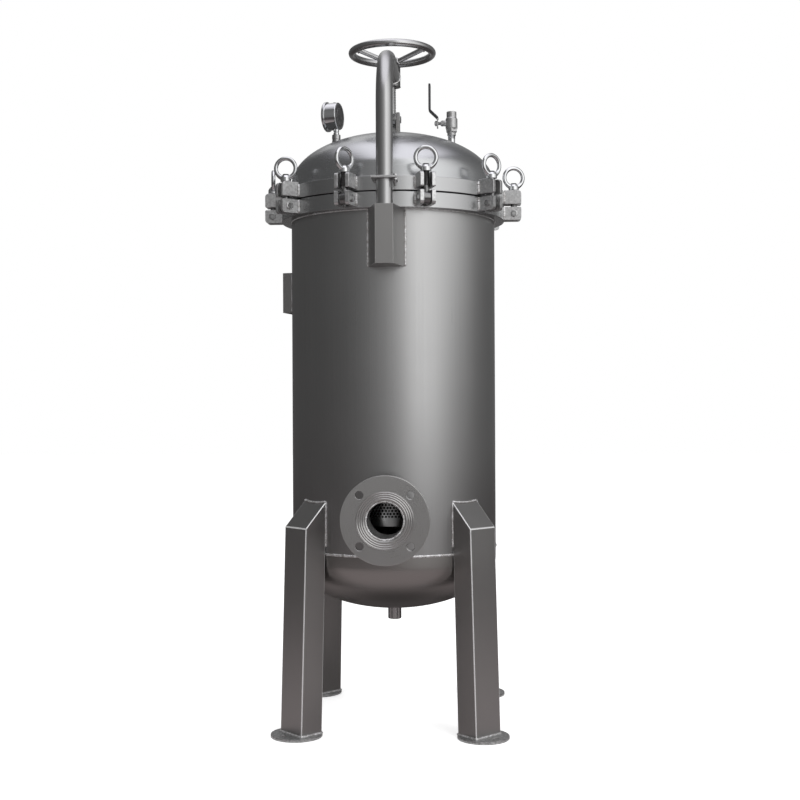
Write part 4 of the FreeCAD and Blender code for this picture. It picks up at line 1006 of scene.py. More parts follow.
def bead(skin: Skin, path: Points, hint: Sequence[float], width: float, seed: int, height: float = 0.7,
         pitch: float = 3.2) -> None:
    """Lay a weld bead along a path.

    The bead is an oval carried along the path, in four steps a ripple. Its size is one, less a small share of
    the distance to the nearest ripple's crest, plus two slow sines whose phases come from the seed. It tapers
    to half its size at the ends of an open path.

    Args:
        skin: the skin that takes the bead.
        path: points along its middle.
        hint: direction that stands out of the surface.
        width: half width of the bead.
        seed: number for this bead's phases.
        height: height over width.
        pitch: distance between ripples.
    """
    closed = np.allclose(path[0], path[-1])
    line = evenly(path, max(8, int(travelled(path)[-1] / pitch * 4)))
    share = np.linspace(0.0, 1.0, len(line))
    ripple = np.abs(((np.arange(len(line)) / 4.0) % 1.0) * 2.0 - 1.0)
    phase = np.random.default_rng(seed).uniform(0.0, FULL, 2)
    waves = np.round(np.array([5.0, 13.0]) * max(1.0, len(line) / 160.0))
    size = 1.0 - 0.16 * ripple + 0.07 * np.sin(FULL * waves[0] * share + phase[0])
    size = size + 0.05 * np.sin(FULL * waves[1] * share + phase[1])
    oval = circle(width, 8) * np.array([1.0, height])
    if closed:
        skin.grid(carried(line, oval, hint, size)[:-1])
    else:
        ends = np.clip(np.minimum(share, 1 - share) * len(line) / 4.0, 0.0, 1.0)
        skin.tube(carried(line, oval, hint, size * (0.5 + 0.5 * ends)))


class Seams:
    """Weld beads gathered for each body and laid as one piece for a body."""

    slots = {"vessel": "shell_steel", "lid": "shell_steel", "handwheel": "wheel_steel"}

    def __init__(self) -> None:
        """Start with no beads."""
        self.skins: dict[str, Skin] = {}
        self.laid = 0

    def lay(self, body: str, path: Points, hint: Sequence[float], width: float, height: float = 0.7,
            pitch: float = 3.2, azimuths: Sequence[float] = (0.0,)) -> None:
        """Lay one bead, or the same one at several azimuths.

        Args:
            body: the body that it rides on.
            path: points along its middle.
            hint: direction that stands out of the surface, never parallel to the path.
            width: half width of the bead.
            height: height over width.
            pitch: distance between ripples.
            azimuths: where copies go.
        """
        skin, out = self.skins.setdefault(body, Skin()), np.array(hint, float)
        for azimuth in azimuths:
            self.laid += 1
            bead(skin, spun(path, azimuth), spun(out, azimuth), width, self.laid, height, pitch)

    def build(self) -> None:
        """Dress the beads of each body."""
        for body, skin in self.skins.items():
            dress(skin.mesh(body + "_welds", 60.0), body + "_welds", body, WELD)


SEAMS = Seams()


@dataclass
class Studio:
    """Camera, lamps, tent and floor.

    The camera's distance and height are in millimetres, its focal length, middle and image in pixels of the
    photograph. The tent has its radius, foot and top in metres. A card is an azimuth in degrees and the
    light there.
    """

    distance: float = 3107.6
    azimuth: float = 3.5
    height: float = 782.2
    focal: float = 1254.8
    middle: tuple[float, float] = (393.8, 397.66)
    roll: float = -0.0047
    image: int = 800
    tent_size: tuple[float, float, float] = (5.2, 0.004, 7.5)
    cards: tuple[tuple[float, float], ...] = (
        (-180, 0.16), (-168, 0.12), (-150, 0.05), (-110, 0.055), (-70, 0.06), (-44, 0.08), (-20, 0.13),
        (4, 0.26), (15, 0.44), (24, 0.80), (44, 0.79), (56, 0.52), (72, 0.27), (105, 0.11), (150, 0.07),
        (180, 0.16))

    def camera(self) -> None:
        """Stand the camera where the photograph was taken, level, at the photograph's angle."""
        angle = math.radians(self.azimuth)
        data = bpy.data.cameras.new("camera")
        data.sensor_width = 36.0
        data.lens = self.focal / self.image * data.sensor_width
        data.shift_x = (self.image / 2 - self.middle[0]) / self.image
        data.shift_y = (self.middle[1] - self.image / 2) / self.image
        data.clip_end = 60.0
        camera = linked("camera", data)
        spot = Vector((math.sin(angle), -math.cos(angle), 0.0)) * self.distance
        spot.z = self.height
        turn = Matrix.Rotation(angle, 4, "Z") @ Matrix.Rotation(math.pi / 2, 4, "X")
        camera.matrix_world = Matrix.Translation(spot * MM) @ turn @ Matrix.Rotation(self.roll, 4, "Z")
        bpy.context.scene.camera = camera

    def world(self) -> None:
        """A white background for eye, metal and glass, and a softer light on everything else."""
        tree = Tree("studio", world=True)
        bpy.context.scene.world = tree.owner
        rays = tree.nodes.new("ShaderNodeLightPath")
        eye, metal, glass = (Value(tree, rays.outputs[f"Is {kind} Ray"])
                             for kind in ("Camera", "Glossy", "Transmission"))
        soft, white = (tree.node("ShaderNodeBackground", {}, {"Strength": strength, "Color": grey(1.0)})
                       for strength in (0.62, 1.0))
        seen = (eye + metal + glass).clipped()
        tree.show(tree.node("ShaderNodeMixShader", {}, {0: seen, 1: soft, 2: white}))

    def lamp(self, name: str, azimuth: float, elevation: float, far: float, side: float, power: float) -> None:
        """A square soft lamp aimed at the vessel's middle, which no reflection shows.

        Args:
            name: the lamp's name.
            azimuth: where it stands, in degrees.
            elevation: how high it stands, in degrees.
            far: its distance, in metres.
            side: its side, in metres.
            power: its power, in watts.
        """
        data = bpy.data.lights.new(name, "AREA")
        data.shape, data.size, data.energy = "SQUARE", side, power
        lamp = linked(name, data)
        across, up = math.radians(azimuth), math.radians(elevation)
        away = Vector((math.sin(across) * math.cos(up), -math.cos(across) * math.cos(up), math.sin(up)))
        aim = Vector((0.0, 0.0, 0.85))
        turn = away.to_track_quat("Z", "Y").to_matrix().to_4x4()
        lamp.matrix_world = Matrix.Translation(aim + away * far) @ turn
        lamp.visible_camera = lamp.visible_glossy = False

    @staticmethod
    def smooth(tree: Tree, value: Value, none: float, full: float) -> Value:
        """A smooth step of a value.

        Args:
            tree: the material being made.
            value: the value to follow.
            none: where the step is 0.
            full: where the step is 1.

        Returns:
            The step between 0 and 1.
        """
        low, high = min(none, full), max(none, full)
        ends = {"To Min": float(full < none), "To Max": float(full > none)}
        return tree.node("ShaderNodeMapRange", {"interpolation_type": "SMOOTHSTEP"},
                         {"Value": value, "From Min": low, "From Max": high, **ends})

    def tent(self) -> None:
        """A closed drum that only reflections see: one bright card at the front right, the rest dim.

        The wall's light over azimuth is a table, linear between its entries, and a little lower near the floor.
        Above, the right side is drawn to one grey and the rear left to another. The ceiling is a pale sheet
        with soft ends at both sides and behind. The floor shows the paper lit in front of the vessel, and dark
        right under the vessel as a painted shadow of it.
        """
        radius, low, high = self.tent_size
        outline = np.array([(0.0, low), (radius, low), (radius, high), (0.0, high)])
        mesh = Skin().grid(turned(outline / MM, 144), along=False).mesh("tent")
        tree = Tree("tent_cards")
        x, y, z = tree.place()

        def step(value: Value, none: float, full: float) -> Value:
            """A smooth step of a value from none to full."""
            return self.smooth(tree, value, none, full)

        turn = x.angle_with(y * -1.0) / FULL + 0.5
        ramp = tree.nodes.new("ShaderNodeValToRGB")
        tree.links.new(turn.socket, ramp.inputs["Fac"])
        stops = ramp.color_ramp.elements
        stops[0].position, stops[1].position = 0.0, 1.0
        for card, _ in self.cards[1:-1]:
            stops.new((card + 180.0) / 360.0)
        for stop, (_, shine) in zip(stops, self.cards):
            stop.color = grey(shine)
        azimuth = (turn - 0.5) * 360.0
        wide = step(azimuth, 113.0, 50.0) * step(azimuth, 28.0, 60.0) * step(z, 0.9, 2.1)
        rear = step(azimuth, -140.0, -160.0) * step(z, 3.8, 5.2)
        level = Value(tree, ramp.outputs[0]) * (step(z, 1.2, 2.1) * 0.12 + 0.88)
        level = level.toward(0.62, wide).toward(0.38, rear)
        ceiling = step(x, -4.6, -1.2) * step(x, 5.6, 3.0) * step(x * 0.5 + y, 6.4, 0.6)
        above = tree.blend(ceiling, (0.07, 0.07, 0.075, 1.0), (0.70, 0.69, 0.73, 1.0))
        near = (x * x + y * y) ** 0.5
        # The paper stays dark within about 0.06 to 0.42 m of the axis: a painted shadow of the vessel over it.
        paper = step(near, 0.06, 0.42) * step(near, 3.0, 1.2) * step(y, 0.4, -0.2)
        under = tree.blend(paper, (0.036, 0.033, 0.033, 1.0), (0.175, 0.155, 0.157, 1.0))
        lit = tree.blend(step(z, high - 0.3, high), level, above)
        lit = tree.blend(step(z, 0.5, 0.02), lit, under)
        tree.show(tree.node("ShaderNodeEmission", {}, {"Color": lit, "Strength": 2.0}))
        mesh.materials.append(tree.owner)
        tent = linked("tent", mesh)
        tent.visible_camera = tent.visible_diffuse = tent.visible_shadow = tent.visible_transmission = False

    def floor(self) -> None:
        """A plain pale floor that keeps the shadow, a little lifted for the eye so that it ends in white."""
        half, lifted = 14.0, 0.55
        mesh = bpy.data.meshes.new("floor")
        corners = [(-half, -half, 0), (half, -half, 0), (half, half, 0), (-half, half, 0)]
        mesh.from_pydata(corners, [], [(0, 1, 2, 3)])
        tree = Tree("floor_paper")
        rays = tree.nodes.new("ShaderNodeLightPath")
        paper = tree.node("ShaderNodeBsdfDiffuse", {}, {"Color": grey(0.86)})
        lift = tree.node("ShaderNodeEmission", {}, {"Color": grey(1.0), "Strength": lifted})
        both = tree.node("ShaderNodeAddShader", {}, {0: paper, 1: lift})
        direct = Value(tree, rays.outputs["Is Camera Ray"])
        tree.show(tree.node("ShaderNodeMixShader", {}, {0: direct, 1: paper, 2: both}))
        mesh.materials.append(tree.owner)
        linked("floor", mesh)

    def build(self) -> None:
        """Set the whole studio up."""
        self.camera()
        self.world()
        self.lamp("key_lamp", 42.0, 38.0, 3.6, 2.4, 62.0)
        self.lamp("fill_lamp", -60.0, 30.0, 4.0, 2.6, 26.0)
        self.lamp("back_lamp", 190.0, 40.0, 3.8, 2.4, 30.0)
        self.tent()
        self.floor()


@dataclass
class Vessel:
    """Shell, dished bottom, drain and flanges, with the welds between them."""

    wall: float = WALL
    straight: float = 26.0
    groove: float = 10.0
    gasket: float = 9.4
    body: str = "vessel"
    radius: float = field(init=False)
    seam: float = field(init=False)
    joint: float = field(init=False)

    def __post_init__(self) -> None:
        """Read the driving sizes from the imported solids."""
        low, high = span("shell")
        self.radius = float(high[0])
        self.seam = float(low[2])
        self.joint = float(span("body_flange")[1][2])

    def shell(self) -> None:
        """Rolled shell with its two nozzle holes."""
        rows, corners = 34, 64
        heights = np.linspace(self.seam, self.joint, rows)
        outside = np.column_stack([np.full(rows, self.radius), heights])
        inside = np.column_stack([np.full(rows, self.radius - self.wall), heights[::-1]])
        blank = Skin().grid(turned(np.concatenate([outside, inside]), FINE)).mesh("shell_blank")
        drills = []
        for name, sign in (("outlet_pipe", -1.0), ("inlet_pipe", 1.0)):
            bottom, top = span(name)
            ring = circle((top[0] - bottom[0]) / 2 - 0.4, corners) + np.array([0.0, (top[2] + bottom[2]) / 2])
            drills.append(np.stack([
                np.column_stack([ring[:, 0], np.full(corners, sign * self.radius * reach), ring[:, 1]])
                for reach in (0.5, 1.3)]))
        dress(drilled(blank, drills), "shell_wall", self.body, SHELL_STEEL, ("shell",))

    def bottom(self) -> None:
        """Dished bottom as half an ellipse with a straight skirt, open in its middle for the drain."""
        drain = span("drain_socket")[1][0]
        tangent = self.seam - self.straight
        depth = tangent - span("bottom_head")[0][2]
        skins = []
        for inset in (0.0, self.wall):
            across, deep = self.radius - inset, depth - inset
            start = math.asin(drain / across)
            angle = np.linspace(start, math.pi / 2, 44)
            bowl = np.stack([across * np.sin(angle), tangent - deep * np.cos(angle)], axis=1)
            skirt = np.array([[across, tangent + self.straight / 2], [across, self.seam]])
            skins.append(np.concatenate([bowl, skirt]))
        profile = np.concatenate([skins[0], skins[1][::-1]])
        dress(Skin().grid(turned(profile, FINE)), "bottom_dish", self.body, HEAD_STEEL,
              ("bottom_head",))

    def drain(self) -> None:
        """Drain socket with a bevelled mouth and threads, and the square-keyed plug."""
        low, high = span("drain_socket")
        bore = float(span("drain_plug")[1][0])
        top = high[2] - 4.0
        thread = np.arange(low[2] + 3.0, top - 3.0, 0.45)
        inner = np.stack([bore + 0.35 * np.abs((thread / 0.9) % 2.0 - 1.0), thread], axis=1)[::-1]
        outline = [(bore + 1.6, low[2]), (high[0] - 1.6, low[2]), (high[0], low[2] + 1.6), (high[0], top)]
        profile = np.concatenate([np.array(outline), np.array([[bore, top]]), inner])
        dress(Skin().grid(turned(profile, 72)), "drain_boss", self.body, BOLT_STEEL,
              ("drain_socket",))
        softened("drain_plug", self.body, BOLT_STEEL, 0.6, 2)

    def flanges(self) -> None:
        """Turned body flange with its gasket groove, and the gasket."""
        low, high = span("body_flange")
        inner, outer = self.radius, float(high[0])
        gasket_low, gasket_high = span("lid_gasket")
        out, depth, top = float(gasket_high[0]) + 0.3, float(gasket_low[2]), float(gasket_high[2])
        profile = rounded([
            (inner, low[2]), (outer, low[2], 1.2), (outer, high[2], 0.9), (out, high[2], 0.4), (out, depth),
            (out - self.groove, depth), (out - self.groove, high[2], 0.4), (inner, high[2])])
        dress(Skin().grid(turned(profile, FINE)), "body_ring", self.body, RING_STEEL,
              ("body_flange",))
        rim, hole = out - 0.3, out - 0.3 - self.gasket
        band = rounded([(hole, depth, 1.0), (rim, depth, 1.0), (rim, top, 1.2), (hole, top, 1.2)])
        dress(Skin().grid(turned(band, 200)), "gasket_band", self.body, RUBBER,
              ("lid_gasket",))

    def welds(self) -> None:
        """Bottom seam, flange root and drain welds."""
        SEAMS.lay(self.body, around(self.radius + 0.2, self.seam), UP, 2.1, 1.5)
        SEAMS.lay(self.body, around(self.radius + 0.6, self.joint - 36.4), UP, 1.5, 1.0)
        drain, foot = span("drain_socket")[1], span("bottom_head")[0]
        SEAMS.lay(self.body, around(drain[0] + 0.8, foot[2] + 0.2, 90), UP, 2.2, 1.0)

    def build(self) -> None:
        """Make all of it."""
        self.shell()
        self.bottom()
        self.drain()
        self.flanges()
        self.welds()


@dataclass
class Nozzle:
    """A pipe stub through the shell with its slip-on flange, at the front or at the rear."""

    name: str
    height: float
    azimuth: float
    shell: float = SHELL
    wall: float = WALL
    reach: float = 350.0
    pipe: float = 44.45
    pipe_wall: float = 3.2
    setback: float = 5.0
    rim: float = 100.0
    depth: float = 18.0
    face: float = 64.5
    face_height: float = 2.0
    bolt_circle: float = 80.0
    bolt_hole: float = 9.0
    groove_pitch: float = 4.7
    groove_depth: float = 1.1
    lip: float = 2.0
    bore_round: float = 3.2

    def placed(self, points: Points) -> Points:
        """Points round a z axis that runs outwards through the nozzle, put into the part's frame."""
        return spun(fronted(points, (0, 0, self.height)), self.azimuth)

    def stub(self) -> None:
        """The pipe, trimmed to the inside of the shell: its inner end lies where the two cylinders meet."""
        angle = fan(96)[:, None]
        outer, inner, end = self.pipe, self.pipe - self.pipe_wall, self.reach - self.setback
        radius = np.array([[outer, outer, outer, outer - 0.6, inner + 0.4, inner, inner, inner]])
        x, z = radius * np.cos(angle), radius * np.sin(angle)
        start = np.sqrt((self.shell - self.wall) ** 2 - x ** 2)
        share = np.array([[0.0, 0.5, 1.0, 1.0, 1.0, 1.0, 0.5, 0.0]])
        trim = np.array([[0.0, 0.0, -0.6, 0.0, 0.0, -0.4, 0.0, 0.0]])
        away = start + (end - start) * share + trim
        grid = self.placed(np.stack([x, z, away], axis=-1))
        dress(Skin().grid(grid), self.name + "_stub", "vessel", TUBE_STEEL,
              (self.name + "_pipe",))

    def flange(self) -> None:
        """The flange: raised face with turned grooves, chamfered bolt holes and rounded rims.

        From the lip inwards the face is lowered by the groove's depth times half of one less the cosine of a
        wave of the radius, and it ends in a quarter circle into the bore.
        """
        back, front = self.reach - self.face_height - self.depth, self.reach - self.face_height
        edge = rounded([(self.pipe, back), (self.rim, back, 1.2), (self.rim, front, 1.2),
                        (self.face, front, 0.5), (self.face, self.reach, 0.5)], 3)
        start = self.face - self.lip
        radius = np.linspace(start, self.pipe + self.bore_round, 56)
        lowered = self.groove_depth * (0.5 - 0.5 * np.cos((start - radius) * FULL / self.groove_pitch))
        face = np.column_stack([radius, self.reach - lowered])
        arc = np.linspace(0.0, FULL / 4, 8)[1:]
        bore = np.column_stack([self.pipe + self.bore_round * (1 - np.sin(arc)),
                                self.reach - lowered[-1] - self.bore_round * (1 - np.cos(arc))])
        profile = np.concatenate([edge, face, bore])
        blank = Skin().grid(self.placed(turned(profile, 144))).mesh(self.name + "_ring")
        level = np.array([back - 4, back, back + 0.9, front - 0.9, front, front + 4])
        flare = np.array([5.0, 0.9, 0.0, 0.0, 0.9, 5.0])
        tool = polar((self.bolt_hole + flare)[:, None], fan(40), level[:, None])
        drills = [self.placed(tool + polar(self.bolt_circle, math.radians(turn), 0.0))
                  for turn in (45.0, 135.0, 225.0, 315.0)]
        finish = Steel(self.name + "_face", 0.44, 0.30, Grain.FACE, streak=0.06, clouds=0.06, warm=0.012,
                       centre=self.height, metal=0.85)
        dress(drilled(blank, drills), self.name + "_ring", "vessel", finish,
              (self.name + "_flange",))

    def welds(self) -> None:
        """Beads where pipe meets shell, flange back and flange bore."""
        ring = polar(self.pipe + 1.0, fan(180, True), 0.0)
        root = ring + np.column_stack([0 * ring[:, :2], np.sqrt(self.shell ** 2 - ring[:, 0] ** 2) + 0.6])
        back = self.reach - self.face_height - self.depth
        share = (self.pipe - 1.9) / (self.pipe + 1.0)
        inside = ring * share + np.array([0.0, 0.0, self.reach - self.setback + 0.4])
        away = spun(np.array([0.0, -1.0, 0.0]), self.azimuth)
        for path, width, height in ((root, 3.0, 0.9), (ring + np.array([0.0, 0.0, back - 0.8]), 2.6, 1.0),
                                    (inside, 2.6, 0.9)):
            SEAMS.lay("vessel", self.placed(path), away, width, height)

    def build(self) -> None:
        """Make all of it."""
        self.stub()
        self.flange()
        self.welds()


@dataclass
class Legs:
    """Four box legs on round foot plates."""

    azimuths: tuple[float, ...] = (45.0, 135.0, 225.0, 315.0)
    width: float = 80.0
    depth: float = 60.0
    foot_reach: float = 322.0
    splay: float = 16.0
    top: float = 482.0
    plate: float = 7.0
    shell: float = SHELL
    side_weld: tuple[float, float, float] = (247.6, 436.0, 540.0)

    def build(self) -> None:
        """Round the edges of the legs and plates, and weld them."""
        # The legs' rounded edges take the painted edge highlight.
        softened("legs", "vessel", LEG_STEEL, 2.6, 3, EDGE_HIGHLIGHT_STEEL)
        softened("foot_plates", "vessel", FOOT_STEEL, 0.9, 2)
        half, front = self.width / 2, -self.foot_reach
        x = np.linspace(-half, half, 41)
        y = -np.sqrt(self.shell ** 2 - x ** 2)
        cap = np.stack([x, y - 1.2, self.top + (self.foot_reach - self.splay) + y + 0.6], axis=1)
        SEAMS.lay("vessel", cap, UP, 3.0, 0.8, azimuths=self.azimuths)
        reach, low, high = self.side_weld
        for side in (-1.0, 1.0):
            line = upright(side * (half - 0.2), -reach, low, high, 30)
            SEAMS.lay("vessel", line, (side, 0, 0), 2.6, 1.0, azimuths=self.azimuths)
        near, far = front - 0.6, front + self.depth + 0.6
        foot = rounded([(-half - 0.6, near, 3.0), (half + 0.6, near, 3.0), (half + 0.6, far, 3.0),
                        (-half - 0.6, far, 3.0)])
        ring = np.column_stack([foot, np.full(len(foot), self.plate + 0.8)])
        SEAMS.lay("vessel", np.concatenate([ring, ring[:1]]), UP, 3.4, 0.8, 4.0, self.azimuths)


@dataclass
class Davit:
    """Socket on the shell, bent tube and the sleeve that carries the wheel."""

    tube: float = 19.0
    wall: float = WALL
    circle: float = 305.0
    foot: float = 1086.0
    bend: float = 140.0
    arm: float = 1573.0
    sleeve: float = 20.0
    bore: float = 9.5
    sleeve_low: float = 1551.0
    sleeve_high: float = 1601.0
    collar: float = 20.9
    collar_low: float = 1550.6
    socket: tuple[float, float] = (1081.0, 1213.0)
    socket_weld: tuple[float, float] = (42.6, 247.4)

    def build(self) -> None:
        """Make the tube and sleeve, round the socket's edges, and weld them."""
        # The socket's rounded edges take the painted edge highlight.
        softened("davit_socket", "vessel", LEG_STEEL, 1.8, 3, EDGE_HIGHLIGHT_STEEL)
        path = bent([(0, -self.circle, self.foot), (0, -self.circle, self.arm), (0, -8.0, self.arm)],
                    [self.bend], 36)
        between = np.linspace(0.05, 0.95, 7)[:, None]
        path = np.concatenate([path[:1], path[:1] + between * (path[1] - path[0]), path[1:-1],
                               path[-2] + between * (path[-1] - path[-2]), path[-1:]])
        outer = carried(path, circle(self.tube, 56), (1, 0, 0))
        inner = carried(path, circle(self.tube - self.wall, 56), (1, 0, 0))[::-1]
        dress(Skin().grid(np.concatenate([outer, inner])), "davit_pipe", "vessel", TUBE_STEEL,
              ("davit_tube",))
        profile = rounded([
            (self.bore, self.collar_low, 0.6), (self.collar, self.collar_low, 0.8),
            (self.collar, self.sleeve_low, 0.8), (self.sleeve, self.sleeve_low),
            (self.sleeve, self.sleeve_high, 0.8), (self.bore, self.sleeve_high, 0.6)])
        dress(Skin().grid(turned(profile, 72)), "lift_sleeve", "vessel", STUD_STEEL,
              ("davit_sleeve",))
        self.welds()

    def welds(self) -> None:
        """Beads round the arm at the sleeve and along the socket on the shell."""
        angle = fan(120, True)
        x = (self.tube + 0.4) * np.cos(angle)
        y = -np.sqrt(np.clip(self.sleeve ** 2 - x ** 2, 0, None)) - 0.8
        ring = np.stack([x, y, self.arm + (self.tube + 0.4) * np.sin(angle)], axis=1)
        SEAMS.lay("vessel", ring, (0, -1, 0), 2.4, 0.9)
        low, high = self.socket
        across, reach = self.socket_weld
        for side in (-1.0, 1.0):
            SEAMS.lay("vessel", upright(side * across, -reach, low, high - 3.0, 34), (side, 0, 0), 3.0, 1.0)


@dataclass
class Lid:
    """Dome, lid flange, clevis, strap and the lift screw that hangs between them."""

    radius: float = SHELL
    wall: float = WALL
    base: float = DOME_BASE
    depth: float = DOME_DEEP
    skirt: float = 30.0
    flange: tuple[float, float] = LID_RING
    rim: float = RIM
    pin: float = 1470.0
    screw: float = 9.0
    screw_top: float = 1617.0
    eye: float = 16.0
    eye_width: float = 17.2
    cheek: tuple[float, float, float] = (9.0, 18.6, 23.6)
    bolt_half: float = 18.0
    bolt_proud: float = 3.2
    guide: tuple[float, float] = (1270.0, 1275.0)
    stop_bolt: tuple[float, float] = (24.5, -321.0)

    def dome(self) -> None:
        """Half an ellipse on a straight skirt, turned, with its inside."""
        sides = []
        for inset in (0.0, self.wall):
            angle = np.linspace(math.pi / 2, 0.0, 60)
            across, deep = self.radius - inset, self.depth - inset
            bowl = np.stack([across * np.sin(angle), self.base + deep * np.cos(angle)], axis=1)
            skirt = np.array([[across, self.flange[0]], [across, self.flange[0] + self.skirt]])
            sides.append(np.concatenate([skirt, bowl]))
        profile = np.concatenate([sides[0], sides[1][::-1]])
        dress(Skin().grid(turned(profile, FINE)), "dome_skin", "lid", DOME_STEEL, ("lid_dome",))

    def ring(self) -> None:
        """The turned lid flange, with its weld to the skirt."""
        low, high = self.flange
        profile = rounded([(self.radius, low), (self.rim, low, 0.9), (self.rim, high, 1.2),
                           (self.radius, high)])
        dress(Skin().grid(turned(profile, FINE)), "lid_ring", "lid", RING_STEEL,
              ("lid_flange",))
        SEAMS.lay("lid", around(self.radius + 1.0, high + 0.9), UP, 2.6, 1.0)

    def clevis(self) -> None:
        """Two cheeks on the dome with their pin, nut and weld."""
        softened("lid_clevis", "lid", LEG_STEEL, 1.2)
        half, end = self.bolt_half, self.bolt_half + self.bolt_proud
        skin = Skin()
        for side in (-1.0, 1.0):
            skin.grid(crosswise(hexed(7.8, 0.0, 3.5, 5.2, "high"), (side * half, 0, self.pin), side))
        bolt = rounded([(0, -end), (5.2, -end, 1.0), (6.0, -half), (6.0, half), (5.2, end, 1.0), (0, end)])
        skin.grid(crosswise(turned(bolt, 40), (0, 0, self.pin)))
        dress(skin, "clevis_bolt", "lid", BOLT_STEEL, ("clevis_pin",))
        low, high = float(dome_height(np.array(0.0), np.array(17.0))) - 6.0, self.pin - 12.0
        web = rounded([(-9.6, 12.0), (9.6, 12.0), (9.6, 18.0), (-9.6, 18.0)])
        block = np.stack([np.column_stack([web, np.full(len(web), z)]) for z in (low, high)])
        dress(Skin().tube(block), "clevis_web", "lid", PLATE_STEEL)
        inside, outside, end = self.cheek
        for side in (-1.0, 1.0):
            plan = rounded([(side * inside, -end, 2.0), (side * outside, -end, 2.0), (side * outside, end, 2.0),
                            (side * inside, end, 2.0)])
            plan = np.concatenate([plan, plan[:1]])
            path = np.column_stack([plan, dome_height(plan[:, 0], plan[:, 1]) + 0.6])
            SEAMS.lay("lid", path, UP, 2.6, 0.9)

    def strap(self) -> None:
        """The plate that guides the lid on the davit tube, with its stop bolt."""
        softened("guide_strap", "lid", PLATE_STEEL, 0.8, 2)
        skin = Skin()
        low, high = self.guide
        for grid in (hexed(4.6, high, high + 4.0), hexed(4.6, low - 4.0, low),
                     threaded(2.6, low - 18.0, high + 5.6, 0.9, 0.45, steps=20)):
            skin.rod(grid + np.array([*self.stop_bolt, 0.0]))
        dress(skin, "strap_bolt", "lid", BOLT_STEEL)
        x = np.linspace(-29.0, 29.0, 31)
        line = np.stack([x, -np.sqrt(self.rim ** 2 - x ** 2) - 0.8, 0 * x + high + 0.4], axis=1)
        SEAMS.lay("lid", line, UP, 2.2)

    def rod(self) -> None:
        """The lift screw: a trapezoid thread over an eye."""
        skin = Skin().rod(threaded(self.screw, self.pin + 12.0, self.screw_top, 4.0, 1.5, 0.3, 2.0))
        bore, half = 6.2, self.eye_width / 2
        eye = rounded([(bore, -half, 0.5), (self.eye, -half, 1.0), (self.eye, half, 1.0), (bore, half, 0.5)])
        skin.grid(crosswise(turned(eye, 56), (0, 0, self.pin)))
        dress(skin, "lift_rod", "lid", BOLT_STEEL, ("lift_screw",))

    def build(self) -> None:
        """Make all of it."""
        self.dome()
        self.ring()
        self.clevis()
        self.strap()
        self.rod()


@dataclass
class Handwheel:
    """Three-spoked wheel of round bar on a turned hub."""

    rim: float = 99.0
    bar: float = 9.0
    rim_z: float = 1634.0
    hub: float = 17.0
    bore: float = 9.1
    low: float = 1601.3
    high: float = 1621.3
    spoke: float = 6.0
    azimuths: tuple[float, ...] = (60.0, 180.0, 300.0)

    def build(self) -> None:
        """Make rim, hub and spokes as one piece, with their welds."""
        rim = turned(circle(self.bar, 32) + np.array([self.rim, self.rim_z]), 160)
        hub = rounded([(self.bore, self.low, 0.8), (self.hub, self.low, 1.2), (self.hub, self.high, 1.5),
                       (self.bore, self.high, 0.8)])
        skin = Skin().grid(rim).grid(turned(hub, 64))
        start = np.array([0.0, -13.0, (self.low + self.high) / 2])
        end = np.array([0.0, -self.rim, self.rim_z])
        path = start + (end - start) * np.linspace(0.0, 1.0, 9)[:, None]
        skin.add(Skin().tube(carried(path, circle(self.spoke, 28), (1, 0, 0))).spun(self.azimuths))
        dress(skin, "wheel", "handwheel", WHEEL_STEEL, ("handwheel",))
        ahead = (end - start) / np.linalg.norm(end - start)
        angle = fan(40, True)[:, None]
        side, over = np.array([1.0, 0.0, 0.0]), np.cross(ahead, [1.0, 0.0, 0.0])
        ring = (self.spoke + 0.5) * (np.cos(angle) * side + np.sin(angle) * over)
        for away in (6.0, np.linalg.norm(end - start) - self.bar - 0.6):
            SEAMS.lay("handwheel", start + ahead * away + ring, ahead, 1.8, 1.0, 2.6, self.azimuths)


